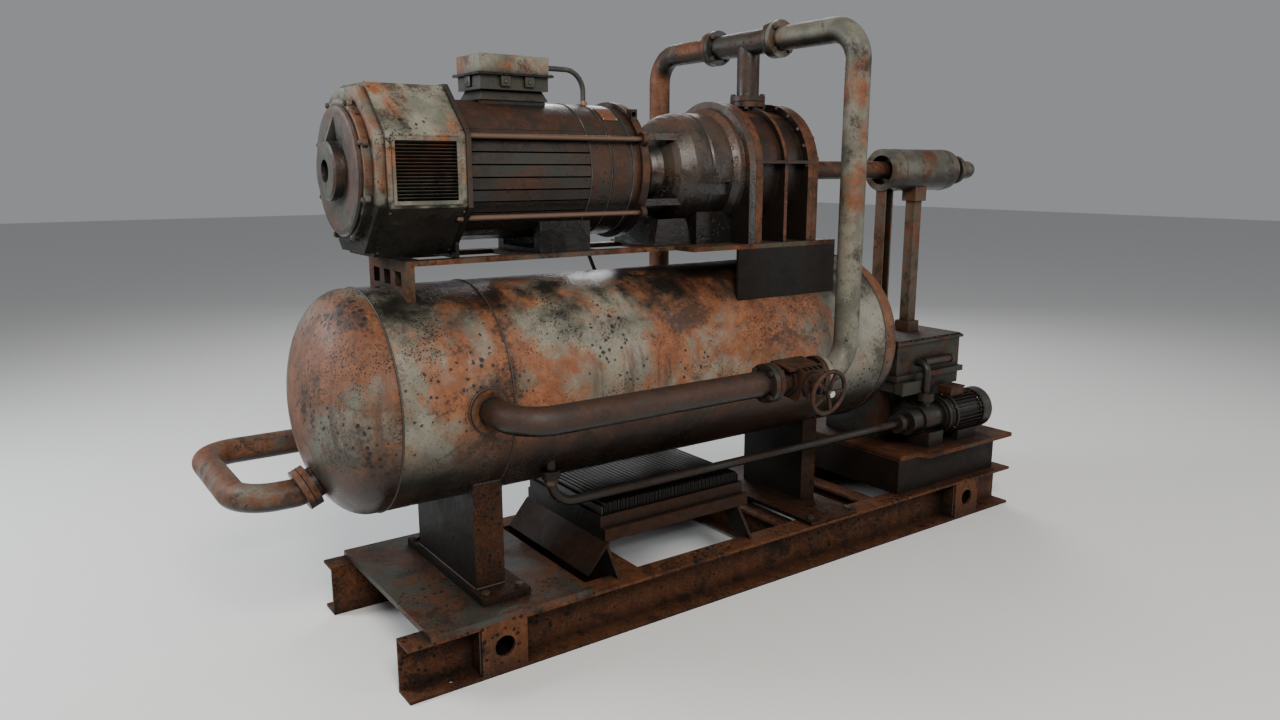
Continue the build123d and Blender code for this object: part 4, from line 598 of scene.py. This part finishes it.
def hex_bolt(origin, direction, flats, height, turn=0.0):
    """Washer, chamfered hexagon head and a short domed end; returns a list of shapes."""
    r = flats / math.sqrt(3)
    washer = [(0, 1.22 * r), (0.10 * r, 1.22 * r), (0.16 * r, 1.15 * r)]
    head = [(0.10 * r, r), (0.16 * r + 0.8 * height, r), (0.16 * r + height, 0.86 * r)]
    end = [(0.1 * r + height, 0.55 * r), (0.25 * r + height, 0.53 * r), (0.40 * r + height, 0.40 * r)]
    return [lathe(washer, 20, origin, direction), lathe(head, 6, origin, direction, turn),
            lathe(end, 14, origin, direction)]


def dome_screw(origin, direction, r):
    profile = [(0, r), (0.25 * r, r), (0.55 * r, 0.86 * r), (0.75 * r, 0.6 * r), (0.84 * r, 0.25 * r)]
    return [lathe(profile, 16, origin, direction)]


def tube(points, radius, steps=8, closed=False, ripple=0.0, pitch=1):
    """Round bead along points; ripple makes the scales of a weld run."""
    points = [Vector(p) for p in points]
    count = len(points)
    verts, faces = [], []
    side = None
    for i, point in enumerate(points):
        before = points[i - 1] if i or closed else point
        after = points[(i + 1) % count] if i + 1 < count or closed else point
        direction = (after - before).normalized()
        if side is None:
            side = frame_along(direction)[0]
        else:
            side = (side - direction * side.dot(direction)).normalized()
        other = side.cross(direction)
        here = radius * (1 + ripple * (((i % pitch) / pitch) - 0.5))
        for k in range(steps):
            angle = 2 * math.pi * k / steps
            verts.append(point + (side * math.cos(angle) + other * math.sin(angle)) * here)
    for i in range(count if closed else count - 1):
        j = (i + 1) % count
        for k in range(steps):
            m = (k + 1) % steps
            faces.append((i * steps + k, j * steps + k, j * steps + m, i * steps + m))
    if not closed:
        faces.append(tuple(range(steps)))
        faces.append(tuple(reversed(range((count - 1) * steps, count * steps))))
    return verts, faces


def slab(low, high, edge):
    """Box with chamfered edges all round."""
    low, high = Vector(low), Vector(high)
    bm = bmesh.new()
    bmesh.ops.create_cube(bm, size=1.0)
    bmesh.ops.scale(bm, vec=high - low, verts=bm.verts)
    bmesh.ops.translate(bm, vec=(low + high) / 2, verts=bm.verts)
    bmesh.ops.bevel(bm, geom=bm.edges, offset=edge, segments=2, profile=0.6, affect="EDGES")
    bm.verts.index_update()
    shape = ([v.co.copy() for v in bm.verts], [tuple(v.index for v in f.verts) for f in bm.faces])
    bm.free()
    return shape


def curved_plate(x0, x1, radius, thick, low, high, steps=10):
    """Plate bent round the motor axis, between two angles above the near horizontal."""
    verts, faces = [], []
    for i in range(steps + 1):
        angle = low + (high - low) * i / steps
        for x, r in ((x0, radius), (x0, radius + thick), (x1, radius + thick), (x1, radius)):
            verts.append(Vector((x, -r * math.cos(angle), MOTOR_AXIS + r * math.sin(angle))))
    for i in range(steps):
        for k in range(4):
            m = (k + 1) % 4
            faces.append((4 * i + k, 4 * i + m, 4 * i + 4 + m, 4 * i + 4 + k))
    faces += [(3, 2, 1, 0), (4 * steps, 4 * steps + 1, 4 * steps + 2, 4 * steps + 3)]
    return verts, faces


def piece(name, shapes, body, material, crease=35.0):
    verts, faces = [], []
    for shape_verts, shape_faces in shapes:
        start = len(verts)
        verts += [tuple(v) for v in shape_verts]
        faces += [tuple(start + i for i in face) for face in shape_faces]
    mesh = bpy.data.meshes.new(name)
    mesh.from_pydata(verts, [], faces)
    bm = bmesh.new()
    bm.from_mesh(mesh)
    bmesh.ops.recalc_face_normals(bm, faces=bm.faces)
    bm.to_mesh(mesh)
    bm.free()
    mesh.shade_smooth()
    mesh.set_sharp_from_angle(angle=math.radians(crease))
    mesh.materials.append(material)
    thing = bpy.data.objects.new(name, mesh)
    bpy.context.scene.collection.objects.link(thing)
    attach(thing, body)
    return thing


# ---------------------------------------------------------------- details the CAD leaves to the eye
shell_low, shell_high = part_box("vessel_shell")
VESSEL_AXIS = (shell_low.z + shell_high.z) / 2
VESSEL_R = (shell_high.z - shell_low.z) / 2
shaft_low, shaft_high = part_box("motor_rotor")
MOTOR_AXIS = (shaft_low.z + shaft_high.z) / 2

WELD_STEP = 0.0028
WELD_RIPPLE = 0.35
WELD_SCALE = 3
WELD_CREASE = 60.0
SHELL_SEAM_X = -1.100
PIPE_R = 0.0444
PAD_WELD_R = 0.0685
SADDLE_HALF = 0.235
SOCKET_X = 1.18
SOCKET_HALF = 0.081
SOCKET_WELD_Z, SOCKET_WELD_RISE = 0.014, 0.152
DECK_WELD_Y = 0.392
FOOT_WELD_Z = 0.2265

RING_BOLTS = 8
RING_BOLT_R = 0.2095
COWL_FLATS = 8
COWL_OPEN_FLAT = 6
FRAME_R = 0.2221
FRAME_SEAMS = (-0.7255, -0.646, -0.559)
PLATE_X = (-0.632, -0.572)
PLATE_ANGLES = (48, 68)
PIN_X = (-0.628, -0.576)
PIN_ANGLES = (50, 66)
CLIP_Y = 0.0822
CLIP_X = (0.086, 0.172)
CLIP_HALF, CLIP_HALF_END = 0.017, 0.020
CLIP_THICK = 0.009
CLIP_DROP = 0.034
PANEL_INSET = 0.034

FIN_COUNT = 92
FIN_THICK = 0.0014
FIN_INSET = 0.012
FIN_LEAN = 0.0012
COOLER_TUBES = 9
COOLER_TUBE_R = 0.0075
SIDE_PLATE = 0.004

LID_BOLT_INSET = 0.013
LID_BOLT_EDGE = 0.0062
LID_BOLT_Z = 0.0121
LANTERN_BOLT_R = 0.0905
UNION_Z = 0.5385
FLANGE_NUT_R = 0.2465
CYLINDER_SEAM_R = 0.0928
CYLINDER_SEAMS = (1.020, 1.345)


def ring_points(x, radius, z):
    count = int(2 * math.pi * radius / WELD_STEP)
    turns = [2 * math.pi * i / count for i in range(count)]
    return [(x, radius * math.cos(a), z + radius * math.sin(a)) for a in turns]


def on_vessel(x, z, lift):
    """Point of the near side of the vessel shell at a height."""
    dz = z - VESSEL_AXIS
    return x, -math.sqrt((VESSEL_R + lift) ** 2 - dz * dz), z


def weld(points, radius, closed=False):
    return tube(points, radius, 6, closed, WELD_RIPPLE, WELD_SCALE)


def make_vessel_welds(materials):
    beads = [weld(ring_points(x, VESSEL_R + 0.0004, VESSEL_AXIS), 0.0030, True)
             for x in (shell_low.x, SHELL_SEAM_X, shell_high.x)]
    nozzle_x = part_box("main_pipe")[0].x + PIPE_R
    count = int(2 * math.pi * PAD_WELD_R / WELD_STEP)
    pad = []
    for i in range(count):
        angle = 2 * math.pi * i / count
        x, z = nozzle_x + PAD_WELD_R * math.cos(angle), VESSEL_AXIS + PAD_WELD_R * math.sin(angle)
        pad.append(on_vessel(x, z, 0.001))
    beads.append(weld(pad, 0.0042, True))
    x0, x1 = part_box("pedestals")[0].x + 0.018, -1.096
    rise = math.sqrt(VESSEL_R ** 2 - SADDLE_HALF ** 2)
    run = [(x0 + (x1 - x0) * i / 40, -SADDLE_HALF - 0.0005, VESSEL_AXIS - rise) for i in range(41)]
    beads.append(weld(run, 0.004))
    piece("weld_beads", beads, "package", materials["weld"], WELD_CREASE)


def make_skid_welds(materials):
    beads = []
    low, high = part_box("skid_frame")
    for x in (-SOCKET_X, SOCKET_X):
        for side in (low.y, high.y):
            inner = side - math.copysign(0.013, side)
            for edge in (x - SOCKET_HALF, x + SOCKET_HALF):
                run = [(edge, inner, SOCKET_WELD_Z + SOCKET_WELD_RISE * i / 60) for i in range(61)]
                beads.append(weld(run, 0.0032))
    deck_low, deck_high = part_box("deck_plate")
    for y in (-DECK_WELD_Y, DECK_WELD_Y):
        run = [(deck_high.x + 0.0015, y * (1 - 2 * i / 200), deck_low.z + 0.003) for i in range(18)]
        beads.append(weld(run, 0.0032))
    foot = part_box("pedestals")[0].x
    for x in (foot + 0.0145, foot + 0.1195):
        run = [(x, -0.234 + 0.468 * i / 160, FOOT_WELD_Z) for i in range(161)]
        beads.append(weld(run, 0.0038))
    for y in (-0.2365, 0.2365):
        run = [(foot + 0.0155 + 0.103 * i / 40, y, FOOT_WELD_Z) for i in range(41)]
        beads.append(weld(run, 0.0038))
    piece("skid_weld_beads", beads, "package", materials["weld"], WELD_CREASE)


def inside_cad_box(point):
    return all(cad_box[0][i] <= point[i] <= cad_box[1][i] for i in range(3))


def make_cowl_details(materials):
    cover_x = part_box("end_cover")[1].x
    bolts = []
    for i in range(RING_BOLTS):
        angle = math.radians(22.5 + 45 * i)
        place = (cover_x + 0.0002, RING_BOLT_R * math.cos(angle), MOTOR_AXIS + RING_BOLT_R * math.sin(angle))
        bolts += hex_bolt(place, (-1, 0, 0), 0.014, 0.0065, 0.4 * i)
    piece("cowl_ring_bolts", bolts, "package", materials["bolt"])

    screws = []
    cowl_low, cowl_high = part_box("motor_cowl")
    flat = cowl_high.y
    half = flat * math.tan(math.pi / COWL_FLATS)
    for turn in range(COWL_FLATS):
        if turn == COWL_OPEN_FLAT:
            continue
        a = math.pi / 4 * turn
        normal = Vector((0, math.cos(a), math.sin(a)))
        along = Vector((0, -math.sin(a), math.cos(a)))
        for x in (cowl_high.x - 0.006, cowl_low.x + 0.056):
            for k in (-0.82, 0.82):
                place = Vector((x, 0, MOTOR_AXIS)) + normal * (flat - 0.0002) + along * (half * k)
                if inside_cad_box(place + normal * 0.004):
                    screws += dome_screw(place, normal, 0.0042)
    piece("cowl_screws", screws, "package", materials["bolt"])


def make_frame_details(materials):
    seams = [tube(ring_points(x, FRAME_R + 0.0002, MOTOR_AXIS), 0.0022, 6, True) for x in FRAME_SEAMS]
    piece("motor_seams", seams, "package", materials["gasket"], WELD_CREASE)
    plate = [curved_plate(*PLATE_X, FRAME_R, 0.0016, *(math.radians(a) for a in PLATE_ANGLES))]
    piece("blank_name_plate", plate, "package", materials["plate"])
    pins = []
    for x in PIN_X:
        for angle in (math.radians(a) for a in PIN_ANGLES):
            out = Vector((0, -math.cos(angle), math.sin(angle)))
            pins += dome_screw(Vector((x, 0, MOTOR_AXIS)) + out * (FRAME_R + 0.0012), out, 0.0026)
    piece("name_plate_rivets", pins, "package", materials["bright"])


def make_junction_box_details(materials):
    low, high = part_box("junction_box")
    lid_low, lid_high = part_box("junction_box_lid")
    joint = lid_low.z
    clips, screws = [], []
    for side in (-1, 1):
        y = side * CLIP_Y
        for x in (low.x + CLIP_X[0], low.x + CLIP_X[1]):
            clips.append(slab((x - CLIP_HALF, min(y, y + side * CLIP_THICK), joint - CLIP_DROP),
                              (x + CLIP_HALF, max(y, y + side * CLIP_THICK), joint - 0.0005), 0.0022))
            screws += dome_screw((x, y + side * CLIP_THICK, joint - 0.020), (0, side, 0), 0.0052)
    for side, x in ((-1, low.x + 0.0018), (1, high.x - 0.0018)):
        clips.append(slab((min(x, x + side * CLIP_THICK), -CLIP_HALF_END, joint - CLIP_DROP),
                          (max(x, x + side * CLIP_THICK), CLIP_HALF_END, joint - 0.0005), 0.0022))
        screws += dome_screw((x + side * CLIP_THICK, 0, joint - 0.020), (side, 0, 0), 0.0052)
    piece("junction_box_clips", clips, "package", materials["box"])
    for x in (lid_low.x + 0.006, lid_high.x - 0.006):
        for y in (lid_low.y + 0.006, lid_high.y - 0.006):
            screws += dome_screw((x, y, joint + 0.0069), (0, 0, 1), 0.0046)
    piece("junction_box_screws", screws, "package", materials["bolt"])
    panel = [slab((lid_low.x + PANEL_INSET, lid_low.y + PANEL_INSET, lid_high.z - 0.0045),
                  (lid_high.x - PANEL_INSET, lid_high.y - PANEL_INSET, lid_high.z + 0.0022), 0.002)]
    piece("junction_box_panel", panel, "package", materials["lid"])


def make_cooler_fins(materials):
    """Thin fins, round tubes and side plates, in the room the CAD core takes."""
    low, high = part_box("cooler_core")
    fins = []
    for i in range(FIN_COUNT):
        x = low.x + FIN_INSET + (high.x - low.x - 2 * FIN_INSET) * i / (FIN_COUNT - 1)
        lean = FIN_LEAN * math.sin(2.3 * i)
        top = high.z - 0.001 - 0.0016 * (i % 3)
        corners = [(x, low.y + 0.004, low.z), (x, high.y - 0.004, low.z),
                   (x + lean, high.y - 0.004, top), (x + lean, low.y + 0.004, top)]
        verts = [Vector(c) for c in corners] + [Vector(c) + Vector((FIN_THICK, 0, 0)) for c in corners]
        faces = [(0, 1, 2, 3), (7, 6, 5, 4), (0, 4, 5, 1), (1, 5, 6, 2), (2, 6, 7, 3), (3, 7, 4, 0)]
        fins.append((verts, faces))
    for row in range(COOLER_TUBES):
        y = low.y + 0.030 + (high.y - low.y - 0.060) * row / (COOLER_TUBES - 1)
        run = [(low.x + 0.003 + (high.x - low.x - 0.006) * i / 20, y, low.z + 0.052) for i in range(21)]
        fins.append(tube(run, COOLER_TUBE_R, 10))
    for x in (low.x, high.x - SIDE_PLATE):
        fins.append(slab((x, low.y, low.z), (x + SIDE_PLATE, high.y, high.z - 0.012), 0.001))
    core = piece("cooler_fin_pack", fins, "package", materials["fins"])
    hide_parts("cooler_core")


def make_tank_details(materials):
    low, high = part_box("tank_lid")
    bolts = []
    for i in range(6):
        x = low.x + LID_BOLT_INSET + (high.x - low.x - 2 * LID_BOLT_INSET) * i / 5
        for y in (low.y + LID_BOLT_EDGE, high.y - LID_BOLT_EDGE):
            bolts += hex_bolt((x, y, low.z + LID_BOLT_Z), (0, 0, 1), 0.0085, 0.004)
    for i in range(1, 5):
        y = low.y + LID_BOLT_INSET + (high.y - low.y - 2 * LID_BOLT_INSET) * i / 5
        for x in (low.x + LID_BOLT_EDGE, high.x - LID_BOLT_EDGE):
            bolts += hex_bolt((x, y, low.z + LID_BOLT_Z), (0, 0, 1), 0.0085, 0.004)
    piece("tank_lid_bolts", bolts, "package", materials["bolt"])
    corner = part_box("tank_fittings")[0]
    screws = []
    for x in (corner.x + 0.012, corner.x + 0.118):
        for z in (corner.z + 0.010, corner.z + 0.048):
            screws += dome_screw((x, corner.y + 0.0002, z), (0, -1, 0), 0.0045)
    piece("tank_box_screws", screws, "package", materials["bolt"])


def make_pump_details(materials):
    low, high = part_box("pump_lantern")
    axis = Vector((0, (low.y + high.y) / 2, (low.z + high.z) / 2))
    bolts = []
    for i in range(6):
        angle = math.radians(30 + 60 * i)
        out = Vector((0, math.cos(angle), math.sin(angle)))
        place = Vector((high.x - 0.0105, 0, 0)) + axis + out * LANTERN_BOLT_R
        bolts += hex_bolt(place, (-1, 0, 0), 0.007, 0.005)
    piece("lantern_bolts", bolts, "package", materials["bolt"])
    nut = lathe([(0, 0.0215), (0.004, 0.0235), (0.020, 0.0235), (0.024, 0.0215)], 6,
                (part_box("oil_pipes")[0].x + 0.032, axis.y, UNION_Z), (0, 0, 1))
    piece("oil_union_nuts", [nut], "package", materials["bolt"])


def make_compressor_details(materials):
    face_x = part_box("compressor_casing")[1].x - 0.0262
    nuts = []
    for i in range(11):
        angle = math.radians(5 + 17 * i)
        place = (face_x, FLANGE_NUT_R * math.cos(angle), MOTOR_AXIS + FLANGE_NUT_R * math.sin(angle))
        nuts += hex_bolt(place, (-1, 0, 0), 0.013, 0.006, 0.3 * i)
    piece("casing_flange_nuts", nuts, "package", materials["bolt"])
    straps = [tube(ring_points(x, CYLINDER_SEAM_R, MOTOR_AXIS), 0.0016, 6, True) for x in CYLINDER_SEAMS]
    piece("cylinder_seams", straps, "package", materials["weld"], WELD_CREASE)


make_camera()
make_floor()
make_light()
materials = make_materials()
paint_nodes(materials)
make_vessel_welds(materials)
make_skid_welds(materials)
make_cowl_details(materials)
make_frame_details(materials)
make_junction_box_details(materials)
make_cooler_fins(materials)
make_tank_details(materials)
make_pump_details(materials)
make_compressor_details(materials)
